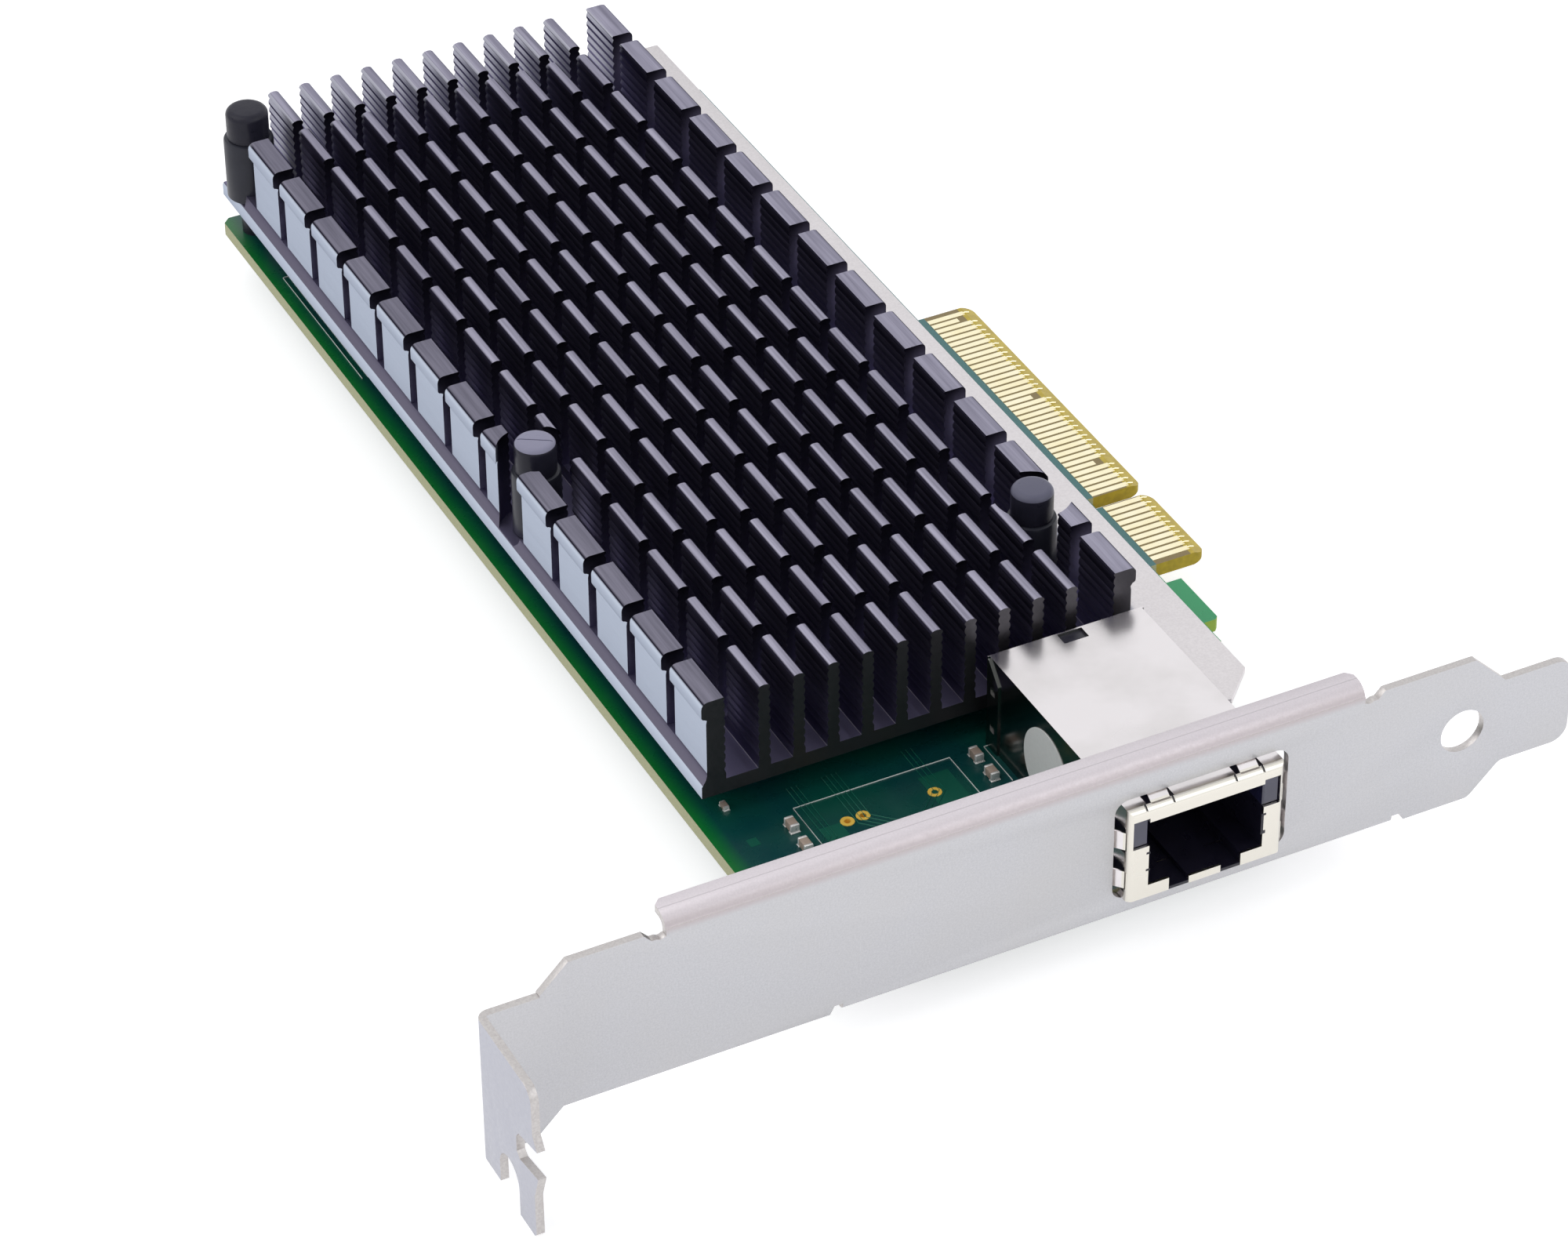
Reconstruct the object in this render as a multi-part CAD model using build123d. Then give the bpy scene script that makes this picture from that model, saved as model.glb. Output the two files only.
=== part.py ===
from build123d import *
import os

# A single-port network interface card with a full-height bracket, in mm.
# X runs across the card toward its contact edge, Y from the bracket to the far end,
# and Z out of the component side. The outer face of the bracket is Y = 0, the component
# side of the board is Z = 0, and the board's plain long edge is X = 0.

# Circuit board
board_thick = 1.57
board_front_y = 1.3
board_length = 151.9
board_edge_x = 61.5
board_corner_cut = 0.8
board_notch_depth = 5.1
board_notch_y = 31.0
board_notch_corner = 0.85
guide_tab_reach = 1.8
guide_tab_y = 34.5
guide_tab_width = 7.85
guide_tab_corner = 0.4

# Card edge: two groups of contacts with a key notch between them
contact_pitch = 1.0
first_contact_y = 46.72
short_group_count = 11
long_group_count = 38
key_gap = 3.0
key_notch_width = 1.9
group_margin = 1.1
card_edge_reach = 6.7
card_edge_corner = 1.0
bevel_length = 1.3
bevel_depth = 0.45
pad_width = 0.7
pad_thick = 0.05
pad_root_gap = 0.7
pad_tip_gap = 1.5
short_pad_cut = 1.2
short_pads = (17, 31, 48)

# Heatsink: one extruded profile, cross-cut into rows
sink_left_x = 0.45
sink_rail_gap = 1.0
sink_jack_gap = 1.5
sink_base_thick = 1.7
sink_fin_height = 10.2
sink_lip_height = 1.6
sink_side_inset = 0.6
sink_band_height = 1.5
sink_cap_overhang = 0.5
sink_cap_height = 1.9
sink_wide_fin = 2.1
thin_fin_count = 10
thin_fin_width = 1.5
thin_fin_left_space = 3.53
thin_fin_right_space = 4.07
thin_fin_chamfer = 0.4
row_count = 14
row_gap = 1.93
row_web_height = 1.2

# Push pins and the sleeves under their heads
far_pin_inset = (2.25, 3.55)
middle_pin_inset = (3.9, 46.75)
front_pin_inset = (2.8, 15.7)
pin_shaft_r = 1.35
pin_hole_clearance = 0.1
pin_head_r = 2.25
pin_head_height = 3.7
pin_head_bevel = 0.35
pin_barb_reach = 1.9
pin_barb_tip = 0.8
pin_barb_height = 1.9
pin_prong_width = 1.8
pin_split = 0.5
sleeve_r = 2.65
sleeve_clearance = 0.05
sleeve_height = 7.6
pocket_r = 4.15

# Controller package between the board and the heatsink
package_x = 25.0
package_y = 96.0
package_size = 25.0
package_substrate_thick = 1.1
package_lid_size = 21.0
package_lid_thick = 1.9
thermal_pad_thick = 0.3
thermal_pad_margin = 0.5

# Edge rail: an angle of sheet metal that stands on the board
rail_sheet = 0.8
rail_board_gap = 5.5
rail_width = 6.0
rail_height = 7.8
rail_bend_r = 1.6
rail_front_y = 13.7
rail_corner_cut = 3.8
rail_foot_width = 3.0
rail_foot_reach = 0.6
rail_feet_y = (30.0, 90.0, 145.0)

# Jack
jack_rail_gap = 0.65
jack_width = 17.5
jack_front_y = -1.2
jack_length = 28.4
jack_height = 11.2
shell_sheet = 0.3
shell_front_round = 0.7
shell_sole_length = 4.0
socket_width = 12.9
socket_bottom = 1.5
socket_height = 7.85
socket_depth = 13.0
latch_width = 8.1
latch_centre_width = 3.6
latch_centre_bottom = 0.88
window_margin = 0.5
window_top_gap = 1.35
window_height = 3.4
cover_sheet = 0.2
cover_flap = 2.3
cover_flap_drop = 2.5
cover_latch_heights = (2.75, 7.4)
cover_latch_size = 0.9
cover_latch_inset = 0.6
top_notch_width = 2.8
top_notch_depth = 1.8
top_notch_offset = 0.3
spring_width = 2.1
spring_slot = 0.5
spring_sheet = 0.2
spring_length = 3.9
spring_top_reach = 0.75
spring_side_reach = 1.0
spring_top_offset = 5.0
spring_side_heights = (2.5, 7.3)
shell_tab_y = (8.0, 20.0)
shell_tab_width = 2.0
contact_wire = 0.4
contact_drop = 3.3
contact_run = 9.2
socket_contact_pitch = 1.016
socket_contact_count = 8
jack_pin_size = 0.5
jack_pin_pitch = 2.54
jack_pin_rows_y = (12.0, 19.0)
jack_pins_per_row = 5
jack_pin_clearance = 0.15
solder_reach = 1.0
sticker_r = 4.4
sticker_thick = 0.1
sticker_y = 15.2
sticker_z = 5.1

# Bracket: bent from one sheet
sheet = 0.86
bracket_top_z = 15.0
bracket_left_x = -36.58
bracket_length = 120.02
tab_shoulder_x = -30.3
tab_shoulder_cut = 3.0
neck_top_z = 11.8
tab_bottom_z = -5.45
tab_outer_bottom_z = -6.2
tab_depth = 11.5
tab_corner_r = 1.7
tab_mouth_flare = 0.95
tab_bend_r = 0.4
tab_slot_end_y = -7.75
tab_slot_width = 3.1
tab_slot_z = 1.1
tab_mouth_width = 3.3
tab_mouth_z = 1.9
tab_lip_top_z = 6.6
tab_lip_low_z = -0.9
prong_gap_width = 4.3
prong_gap_near = 3.6
prong_gap_top = -0.85
tongue_length = 8.0
tongue_root_fall = 3.5
tongue_bottom_z = 1.06
tongue_width = 10.19
tongue_corner_r = 1.9
tongue_hole_r = 2.5
tongue_hole_inset = 12.74
tongue_hole_z = 6.5
tongue_root_r = 1.2
flange_left_x = -17.2
flange_right_x = 58.9
flange_top_z = 16.2
flange_depth = 3.1
flange_bend_r = 1.7
flange_relief = 1.5
flange_relief_slope = 0.8
flange_relief_depth = 0.85
ear_left_x = 1.3
ear_right_x = 63.0
ear_relief = 0.9
ear_relief_slope = 0.5
ear_relief_depth = 0.9
ear_lip_depth = 3.2
ear_depth = 11.5
ear_width = 9.8
ear_jack_gap = 1.35
ear_corner_cut = 1.2
opening_corner_r = 1.5
opening_bottom_drop = 0.2

# Screws that hold the board to the ears
screw_y = 6.6
screw_shank_r = 1.45
screw_clearance = 0.15
screw_head_bevel = 0.6
screw_head_r = 2.7
screw_head_height = 1.5
screw_end_z = -4.0
screw_socket_r = 0.9
screw_socket_depth = 0.8

# Small parts on the board: capacitors, as (x, y) of each size, and plated holes
capacitor_size = (1.25, 2.0, 1.25)
small_capacitor_size = (0.8, 1.6, 0.8)
capacitor_jack_gap = 1.55
capacitor_back_gaps = (1.6, 4.9)
plated_hole_places = ((13.5, 22.6), (15.3, 22.7), (23.4, 22.7))
plated_hole_r = 0.35
plated_ring_r = 0.75
plated_ring_rise = 0.06
plated_wall = 0.2
plated_sides = 12

# Values that follow from those above
contact_count = short_group_count + long_group_count
short_group_end = first_contact_y + (short_group_count - 1) * contact_pitch
long_group_start = short_group_end + key_gap
long_group_end = long_group_start + (long_group_count - 1) * contact_pitch
key_centre_y = (short_group_end + long_group_start) / 2
board_far_y = board_front_y + board_length
card_tip_x = board_edge_x + card_edge_reach
board_notch_x = board_edge_x - board_notch_depth
rail_web_x = board_edge_x - rail_board_gap - rail_width
jack_right_x = rail_web_x - jack_rail_gap
jack_left_x = jack_right_x - jack_width
jack_centre_x = jack_left_x + jack_width / 2
jack_back_y = jack_front_y + jack_length
window_width = (jack_width - socket_width) / 2 - window_margin
window_bottom = jack_height - window_top_gap - window_height
sink_right_x = rail_web_x - sink_rail_gap
sink_front_y = jack_back_y + sink_jack_gap
sink_base_bottom = package_substrate_thick + package_lid_thick + thermal_pad_thick
base_top = sink_base_bottom + sink_base_thick
sink_top = base_top + sink_fin_height
sink_length = board_far_y - sink_front_y
row_pitch = (sink_length + row_gap) / row_count
row_length = row_pitch - row_gap
fin_wall_left_x = sink_left_x + sink_side_inset + sink_wide_fin
fin_wall_right_x = sink_right_x - sink_wide_fin
thin_fin_first_x = fin_wall_left_x + thin_fin_left_space + thin_fin_width / 2
thin_fin_last_x = fin_wall_right_x - thin_fin_right_space - thin_fin_width / 2
thin_fin_pitch = (thin_fin_last_x - thin_fin_first_x) / (thin_fin_count - 1)
pin_hole_r = pin_shaft_r + pin_hole_clearance
sleeve_bore_r = pin_shaft_r + sleeve_clearance
pin_head_bottom = base_top + sleeve_height
pin_places = ((sink_left_x + far_pin_inset[0], board_far_y - far_pin_inset[1]),
              (sink_left_x + middle_pin_inset[0], sink_front_y + middle_pin_inset[1]),
              (sink_right_x - front_pin_inset[0], sink_front_y + front_pin_inset[1]))
bracket_low_z = -board_thick - sheet
bracket_right_x = bracket_left_x + bracket_length
tongue_root_x = bracket_right_x - tongue_length
tongue_hole_x = bracket_right_x - tongue_hole_inset
opening_left_x = jack_left_x - spring_side_reach
opening_right_x = jack_right_x + spring_side_reach
opening_top_z = jack_height + spring_top_reach
ear_second_x = jack_right_x + ear_jack_gap
screw_clear_r = screw_shank_r + screw_clearance
screw_places = ((ear_left_x + ear_width / 2, screw_y),
                ((ear_second_x + board_notch_x) / 2, screw_y))
jack_capacitor_x = jack_left_x - capacitor_jack_gap - capacitor_size[0] / 2
capacitor_places = ((jack_capacitor_x, jack_back_y - capacitor_back_gaps[0]),
                    (jack_capacitor_x, jack_back_y - capacitor_back_gaps[1]),
                    (8.1, 24.2), (7.9, 20.8), (17.8, 12.0), (22.6, 15.5))
small_capacitor_places = ((3.5, 29.0), (11.2, 15.6), (25.6, 11.4))


def block(x0, x1, y0, y1, z0, z1):
    """A box between two limits on each axis."""
    return Pos((x0 + x1) / 2, (y0 + y1) / 2, (z0 + z1) / 2) * Box(x1 - x0, y1 - y0, z1 - z0)


def post(x, y, z0, z1, r):
    """An upright cylinder."""
    return Pos(x, y, (z0 + z1) / 2) * Cylinder(r, z1 - z0)


def facet_post(x, y, z0, z1, r):
    """An upright post with the few flat sides of a drilled hole this small."""
    return extrude(Pos(x, y, z0) * RegularPolygon(r, plated_sides), amount=z1 - z0)


def across_y(points, y0, y1):
    """A profile of (x, z) points, drawn out along Y."""
    face = make_face(Polyline([(x, y0, z) for x, z in points], close=True))
    return extrude(face, amount=y1 - y0, dir=(0, 1, 0))


def across_x(points, x0, x1):
    """A profile of (y, z) points, drawn out along X."""
    face = make_face(Polyline([(x0, y, z) for y, z in points], close=True))
    return extrude(face, amount=x1 - x0, dir=(1, 0, 0))


def across_z(points, z0, z1):
    """A profile of (x, y) points, drawn out along Z."""
    face = make_face(Polyline([(x, y, z0) for x, y in points], close=True))
    return extrude(face, amount=z1 - z0, dir=(0, 0, 1))


def card_edge_group(start_y, end_y):
    """One tongue of the card edge, rounded at its outer corners."""
    tongue = block(board_edge_x - 1, card_tip_x, start_y, end_y, -board_thick, 0)
    corners = tongue.edges().filter_by(Axis.Z).group_by(Axis.X)[-1]
    return fillet(corners, card_edge_corner)


def card_edge_bevel(y0, y1, side):
    """The wedge that is ground off one face of the card edge."""
    slope = bevel_depth / bevel_length
    top = 0 if side > 0 else -board_thick
    points = [(card_tip_x - bevel_length, top),
              (card_tip_x + 1, top),
              (card_tip_x + 1, top - side * slope * (bevel_length + 1))]
    return across_y(points, y0, y1)


def board():
    """The laminate, with its card edge, guide tab and drilled holes."""
    c = board_corner_cut
    r = board_notch_corner
    outline = [(0, board_front_y),
               (board_notch_x, board_front_y),
               (board_notch_x, board_notch_y - r),
               (board_notch_x + r, board_notch_y),
               (board_edge_x, board_notch_y),
               (board_edge_x, board_far_y),
               (c, board_far_y),
               (0, board_far_y - c)]
    body = across_z(outline, -board_thick, 0)
    guide = block(board_edge_x - 1, board_edge_x + guide_tab_reach, guide_tab_y,
                  guide_tab_y + guide_tab_width, -board_thick, 0)
    near_corner = guide.edges().filter_by(Axis.Z).group_by(Axis.X)[-1].sort_by(Axis.Y)[:1]
    guide = chamfer(near_corner, guide_tab_corner)
    group_start = first_contact_y - group_margin
    group_end = long_group_end + group_margin
    body += guide
    body += card_edge_group(group_start, key_centre_y - key_notch_width / 2)
    body += card_edge_group(key_centre_y + key_notch_width / 2, group_end)
    for side in (1, -1):
        body -= card_edge_bevel(group_start - 1, group_end + 1, side)
    for x, y in pin_places:
        body -= post(x, y, -board_thick - 1, 1, pin_hole_r)
    for x, y in screw_places:
        body -= post(x, y, -board_thick - 1, 1, screw_clear_r)
    for x, y in plated_hole_places:
        body -= facet_post(x, y, -board_thick - 1, 1, plated_hole_r + plated_wall)
    half = jack_pin_size / 2 + jack_pin_clearance
    for x, y in jack_pin_places():
        body -= block(x - half, x + half, y - half, y + half, -board_thick - 1, 1)
    for x0, x1, y0, y1 in shell_tab_places() + rail_foot_places():
        body -= block(x0, x1, y0, y1, -board_thick - 1, 1)
    return body


def contact_places():
    """Number and Y of each contact of the card edge."""
    places = []
    for i in range(contact_count):
        y = first_contact_y + i * contact_pitch
        if i >= short_group_count:
            y += key_gap - contact_pitch
        places.append((i + 1, y))
    return places


def edge_contacts(side):
    """The gold pads of one side of the card edge."""
    z0 = 0 if side > 0 else -board_thick - pad_thick
    pads = []
    for number, y in contact_places():
        tip = card_tip_x - pad_tip_gap
        if side > 0 and number in short_pads:
            tip -= short_pad_cut
        pads.append(block(board_edge_x + pad_root_gap, tip, y - pad_width / 2, y + pad_width / 2,
                          z0, z0 + pad_thick))
    return Compound(children=pads)


def thin_fin_places():
    """Middle X of each thin fin."""
    return [thin_fin_first_x + i * thin_fin_pitch for i in range(thin_fin_count)]


def heatsink_profile():
    """The extruded section: base, lip, hooked outer fins and thin fins between them."""
    left = sink_left_x + sink_side_inset
    top = sink_top
    lip = sink_base_bottom + sink_lip_height
    points = [(sink_left_x, sink_base_bottom),
              (sink_left_x, lip),
              (left - 0.12, lip + sink_band_height * 0.45),
              (left, lip + sink_band_height),
              (left, top - sink_cap_height - 0.7),
              (left - sink_cap_overhang + 0.1, top - sink_cap_height),
              (left - sink_cap_overhang, top - 0.5),
              (left - sink_cap_overhang + 0.4, top),
              (left + sink_wide_fin, top),
              (left + sink_wide_fin, base_top)]
    half = thin_fin_width / 2
    cut = thin_fin_chamfer
    for x in thin_fin_places():
        points += [(x - half, base_top), (x - half, top - cut), (x - half + cut, top),
                   (x + half - cut, top), (x + half, top - cut), (x + half, base_top)]
    right = sink_right_x
    points += [(right - sink_wide_fin, base_top),
               (right - sink_wide_fin, top),
               (right - 0.5, top),
               (right + sink_cap_overhang - 0.1, top - 0.5),
               (right + sink_cap_overhang, top - sink_cap_height * 0.7),
               (right, top - sink_cap_height - 0.5),
               (right, sink_base_bottom)]
    return points


def heatsink():
    """The extrusion, cut into rows, with pockets for the pins."""
    body = across_y(heatsink_profile(), sink_front_y, board_far_y)
    for i in range(1, row_count):
        y = sink_front_y + i * row_pitch
        body -= block(sink_left_x - 1, sink_right_x + 2, y - row_gap, y, base_top + row_web_height,
                      sink_top + 1)
    far_x, far_y = pin_places[0]
    body -= block(-1, thin_fin_first_x - thin_fin_width, board_far_y - row_length - row_gap,
                  board_far_y + 1, base_top, sink_top + 1)
    for x, y in pin_places[1:]:
        body -= post(x, y, base_top, sink_top + 1, pocket_r)
    for x, y in pin_places:
        body -= post(x, y, sink_base_bottom - 1, base_top + 1, pin_hole_r)
    return body


def push_pin(place):
    """Head, shaft and two hooked prongs in one piece, with the head on top of the sleeve."""
    x, y = place
    low = -board_thick - pin_barb_height
    head = post(x, y, pin_head_bottom, pin_head_bottom + pin_head_height, pin_head_r)
    head = chamfer(head.edges().group_by(Axis.Z)[-1], pin_head_bevel)
    pin = head + post(x, y, -board_thick, pin_head_bottom, pin_shaft_r)
    half = pin_prong_width / 2
    for side in (-1, 1):
        hook = [(x + side * pin_split / 2, -board_thick),
                (x + side * pin_barb_reach, -board_thick),
                (x + side * pin_barb_tip, low),
                (x + side * pin_split / 2, low)]
        pin += across_y(hook, y - half, y + half)
    return pin


def sleeve(place):
    """The tube between the heatsink's base and the pin's head."""
    x, y = place
    tube = post(x, y, base_top, pin_head_bottom, sleeve_r)
    return tube - post(x, y, base_top - 1, pin_head_bottom + 1, sleeve_bore_r)


def package_substrate():
    """The controller's laminate carrier."""
    half = package_size / 2
    plate = block(package_x - half, package_x + half, package_y - half, package_y + half, 0,
                  package_substrate_thick)
    return chamfer(plate.edges().filter_by(Axis.Z).sort_by(Axis.X)[:1], 1.0)


def package_lid():
    """The metal lid, rounded at its corners."""
    half = package_lid_size / 2
    z0 = package_substrate_thick
    lid = block(package_x - half, package_x + half, package_y - half, package_y + half, z0,
                z0 + package_lid_thick)
    return chamfer(lid.edges().group_by(Axis.Z)[-1], 0.3)


def thermal_pad():
    """The soft pad between lid and heatsink."""
    half = package_lid_size / 2 - thermal_pad_margin
    return block(package_x - half, package_x + half, package_y - half, package_y + half,
                 package_substrate_thick + package_lid_thick, sink_base_bottom)


def rail_foot_places():
    """Slots in the board for the feet of the rail."""
    half = rail_foot_width / 2
    return [(rail_web_x, rail_web_x + rail_sheet, y - half, y + half) for y in rail_feet_y]


def rail():
    """The angle: web up from the board, bend, and flange toward the card edge."""
    x0 = rail_web_x
    web = block(x0, x0 + rail_sheet, rail_front_y, board_far_y, 0, rail_height)
    flange = block(x0, x0 + rail_width, rail_front_y, board_far_y, rail_height - rail_sheet,
                   rail_height)
    body = web + flange
    outer = body.edges().filter_by(Axis.Y).filter_by_position(Axis.X, x0 - 0.01, x0 + 0.01)
    body = fillet(outer.sort_by(Axis.Z)[-1:], rail_bend_r)
    inner = body.edges().filter_by(Axis.Y).filter_by_position(
        Axis.X, x0 + rail_sheet - 0.01, x0 + rail_sheet + 0.01)
    body = fillet(inner.sort_by(Axis.Z)[-1:], rail_bend_r - rail_sheet)
    corner = body.edges().filter_by(Axis.Z).filter_by_position(
        Axis.X, x0 + rail_width - 0.01, x0 + rail_width + 0.01)
    body = chamfer(corner.sort_by(Axis.Y)[:1], rail_corner_cut)
    for a, b, c, d in rail_foot_places():
        body += block(a, b, c, d, -board_thick - rail_foot_reach, 0.5)
    return body


def socket_outline():
    """The socket's mouth with its windows and latch steps, as (x, z) points."""
    m = jack_centre_x
    s = socket_width / 2
    w = s + window_width
    latch = latch_width / 2
    step = latch_centre_width / 2
    top = socket_bottom + socket_height
    window_top = window_bottom + window_height
    return [(m - s, socket_bottom), (m - latch, socket_bottom), (m - latch, -1), (m - step, -1),
            (m - step, latch_centre_bottom), (m + step, latch_centre_bottom), (m + step, -1),
            (m + latch, -1), (m + latch, socket_bottom), (m + s, socket_bottom),
            (m + s, window_bottom), (m + w, window_bottom), (m + w, window_top),
            (m + s, window_top), (m + s, top), (m - s, top), (m - s, window_top),
            (m - w, window_top), (m - w, window_bottom), (m - s, window_bottom)]


def spring_arch(length, reach):
    """Side view of one spring finger, as (distance from its root, height) points."""
    t = spring_sheet
    return [(-0.3, 0), (0, 0), (length * 0.3, reach), (length * 0.5, reach), (length, 0),
            (length + 0.3, 0), (length + 0.3, -t), (length, -t), (length * 0.5 - 0.05, reach - t),
            (length * 0.3 + 0.05, reach - t), (0, -t), (-0.3, -t)]


def shell_tab_places():
    """Slots in the board for the shell's solder tabs."""
    half = shell_tab_width / 2
    places = []
    for y in shell_tab_y:
        places.append((jack_left_x, jack_left_x + shell_sheet, y - half, y + half))
        places.append((jack_right_x - shell_sheet, jack_right_x, y - half, y + half))
    return places


def shell_springs(body):
    """Windows in the shell with a spring finger across each, on the top and both sides."""
    root = jack_front_y + shell_front_round
    arch = spring_arch(spring_length, spring_top_reach)
    half = spring_width / 2
    gap = half + spring_slot
    for x in (jack_centre_x - spring_top_offset, jack_centre_x + spring_top_offset):
        body -= block(x - gap, x + gap, root, root + spring_length, jack_height - 2 * shell_sheet,
                      jack_height + 1)
        body += across_x([(root + a, jack_height + b) for a, b in arch], x - half, x + half)
    arch = spring_arch(spring_length, spring_side_reach)
    for z in spring_side_heights:
        for wall, side in ((jack_left_x, -1), (jack_right_x, 1)):
            body -= block(wall - 2 * shell_sheet, wall + 2 * shell_sheet, root,
                          root + spring_length, z - gap, z + gap)
            body += across_z([(wall + side * b, root + a) for a, b in arch], z - half, z + half)
    return body


def jack_shell():
    """Front, top and side walls of the shield, in one sheet."""
    t = shell_sheet
    shell = block(jack_left_x, jack_right_x, jack_front_y, jack_back_y - cover_sheet, 0,
                  jack_height)
    front = shell.edges().filter_by_position(Axis.Y, jack_front_y - 0.01, jack_front_y + 0.01)
    front = front.filter_by_position(Axis.Z, 0.5, jack_height + 1)
    shell = fillet(front, shell_front_round)
    shell -= block(jack_left_x + t, jack_right_x - t, jack_front_y + t, jack_back_y + 1, -1,
                   jack_height - t)
    shell -= across_y(socket_outline(), jack_front_y - 1, jack_front_y + t + 0.4)
    sole_end = jack_front_y + shell_sole_length
    step = latch_centre_width / 2
    shell += block(jack_left_x, jack_right_x, jack_front_y + 1.0, sole_end, 0, t)
    shell += block(jack_centre_x - step, jack_centre_x + step, jack_front_y, sole_end, 0, t)
    half = top_notch_width / 2
    notch_x = jack_centre_x + top_notch_offset
    shell -= block(notch_x - half, notch_x + half, jack_back_y - top_notch_depth, jack_back_y + 1,
                   jack_height - 2 * t, jack_height + 1)
    shell = shell_springs(shell)
    for x0, x1, y0, y1 in shell_tab_places():
        shell += block(x0, x1, y0, y1, -board_thick - solder_reach, 0.5)
    return shell


def jack_back_cover():
    """Back plate with a flap folded round each side wall."""
    t = cover_sheet
    y1 = jack_back_y
    y0 = y1 - cover_flap
    plate = block(jack_left_x - t, jack_right_x + t, y1 - t, y1, 0, jack_height)
    flap = [(y0, 0), (y1, 0), (y1, jack_height), (y0, jack_height - cover_flap_drop)]
    cover = plate + across_x(flap, jack_left_x - t, jack_left_x)
    cover += across_x(flap, jack_right_x, jack_right_x + t)
    half = cover_latch_size / 2
    latch_y = y0 + cover_latch_inset
    for z in cover_latch_heights:
        cover -= block(jack_left_x - 1, jack_right_x + 1, latch_y, latch_y + cover_latch_size,
                       z - half, z + half)
    return cover


def socket_cavity():
    """The space for a plug: socket, latch steps and the recesses of both light pipes."""
    m = jack_centre_x
    s = socket_width / 2
    y0 = jack_front_y - 1
    y1 = jack_front_y + socket_depth
    latch = latch_width / 2
    cavity = block(m - s, m + s, y0, y1, socket_bottom, socket_bottom + socket_height)
    cavity += block(m - latch, m + latch, y0, y1, latch_centre_bottom, socket_bottom + 1)
    for side in (-1, 1):
        a = m + side * latch_centre_width / 2
        b = m + side * latch
        cavity += block(min(a, b), max(a, b), y0, y1 - 3, 0.3, socket_bottom)
    return cavity


def jack_housing():
    """The plastic block inside the shell."""
    t = shell_sheet
    body = block(jack_left_x + t, jack_right_x - t, jack_front_y + t, jack_back_y - cover_sheet,
                 0, jack_height - t)
    body -= socket_cavity()
    body -= block(jack_left_x, jack_right_x, jack_front_y, jack_front_y + shell_sole_length, -1, t)
    for x0, x1 in light_pipe_sides():
        body -= block(x0, x1, jack_front_y, jack_front_y + socket_depth, window_bottom,
                      window_bottom + window_height)
    return body


def light_pipe_sides():
    """X limits of the left and right light pipes."""
    s = socket_width / 2
    return ((jack_centre_x - s - window_width, jack_centre_x - s),
            (jack_centre_x + s, jack_centre_x + s + window_width))


def light_pipe(number):
    """One bar of clear plastic behind a window of the jack's face."""
    x0, x1 = light_pipe_sides()[number]
    pipe = block(x0, x1, jack_front_y + shell_sheet, jack_front_y + socket_depth, window_bottom,
                 window_bottom + window_height)
    front = pipe.edges().group_by(Axis.Y)[0]
    return chamfer(front, 0.15)


def jack_contacts():
    """Eight wires that slope from the back of the socket up to its roof."""
    roof = socket_bottom + socket_height
    back = jack_front_y + socket_depth
    wire = contact_wire
    low = roof - contact_drop
    side = [(back, low + wire), (back, low), (back - 1.2, low), (back - contact_run, roof),
            (back - contact_run + 1.2, roof), (back - 1.0, low + wire)]
    wires = []
    for i in range(socket_contact_count):
        x = jack_centre_x + (i - (socket_contact_count - 1) / 2) * socket_contact_pitch
        wires.append(across_x(side, x - wire / 2, x + wire / 2))
    return Compound(children=wires)


def jack_pin_places():
    """The pins under the housing: two rows, set half a pitch apart."""
    places = []
    for row, y in enumerate(jack_pin_rows_y):
        for i in range(jack_pins_per_row):
            offset = (i - (jack_pins_per_row - 1) / 2) * jack_pin_pitch
            places.append((jack_centre_x + offset + (row - 0.5) * jack_pin_pitch / 2, y))
    return places


def jack_pins():
    """Square pins from the housing through the board."""
    half = jack_pin_size / 2
    pins = [block(x - half, x + half, y - half, y + half, -board_thick - solder_reach, 0)
            for x, y in jack_pin_places()]
    return Compound(children=pins)


def sticker():
    """A plain round sticker on the left wall of the jack."""
    disc = Pos(jack_left_x - sticker_thick / 2, sticker_y, sticker_z) * Rot(0, 90, 0) * Cylinder(
        sticker_r, sticker_thick)
    return disc


def bracket_outline():
    """The flat of the bracket, as (x, z) points from the lower edge round to the tab."""
    right = bracket_right_x
    low = bracket_low_z
    top = bracket_top_z
    tongue_top = tongue_bottom_z + tongue_width
    c = tab_shoulder_cut
    drop = low - tab_bottom_z
    return [(tab_shoulder_x + 2.0, low),
            (tongue_root_x - tongue_root_fall, low),
            (tongue_root_x, tongue_bottom_z),
            (right, tongue_bottom_z),
            (right, tongue_top),
            (tongue_root_x, tongue_top),
            (tongue_root_x - (top - tongue_top), top),
            (tab_shoulder_x + c, top),
            (tab_shoulder_x, top - c),
            (tab_shoulder_x, neck_top_z),
            (bracket_left_x, neck_top_z),
            (bracket_left_x, tab_bottom_z),
            (tab_shoulder_x + 2.0 - drop, tab_bottom_z)]


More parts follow.
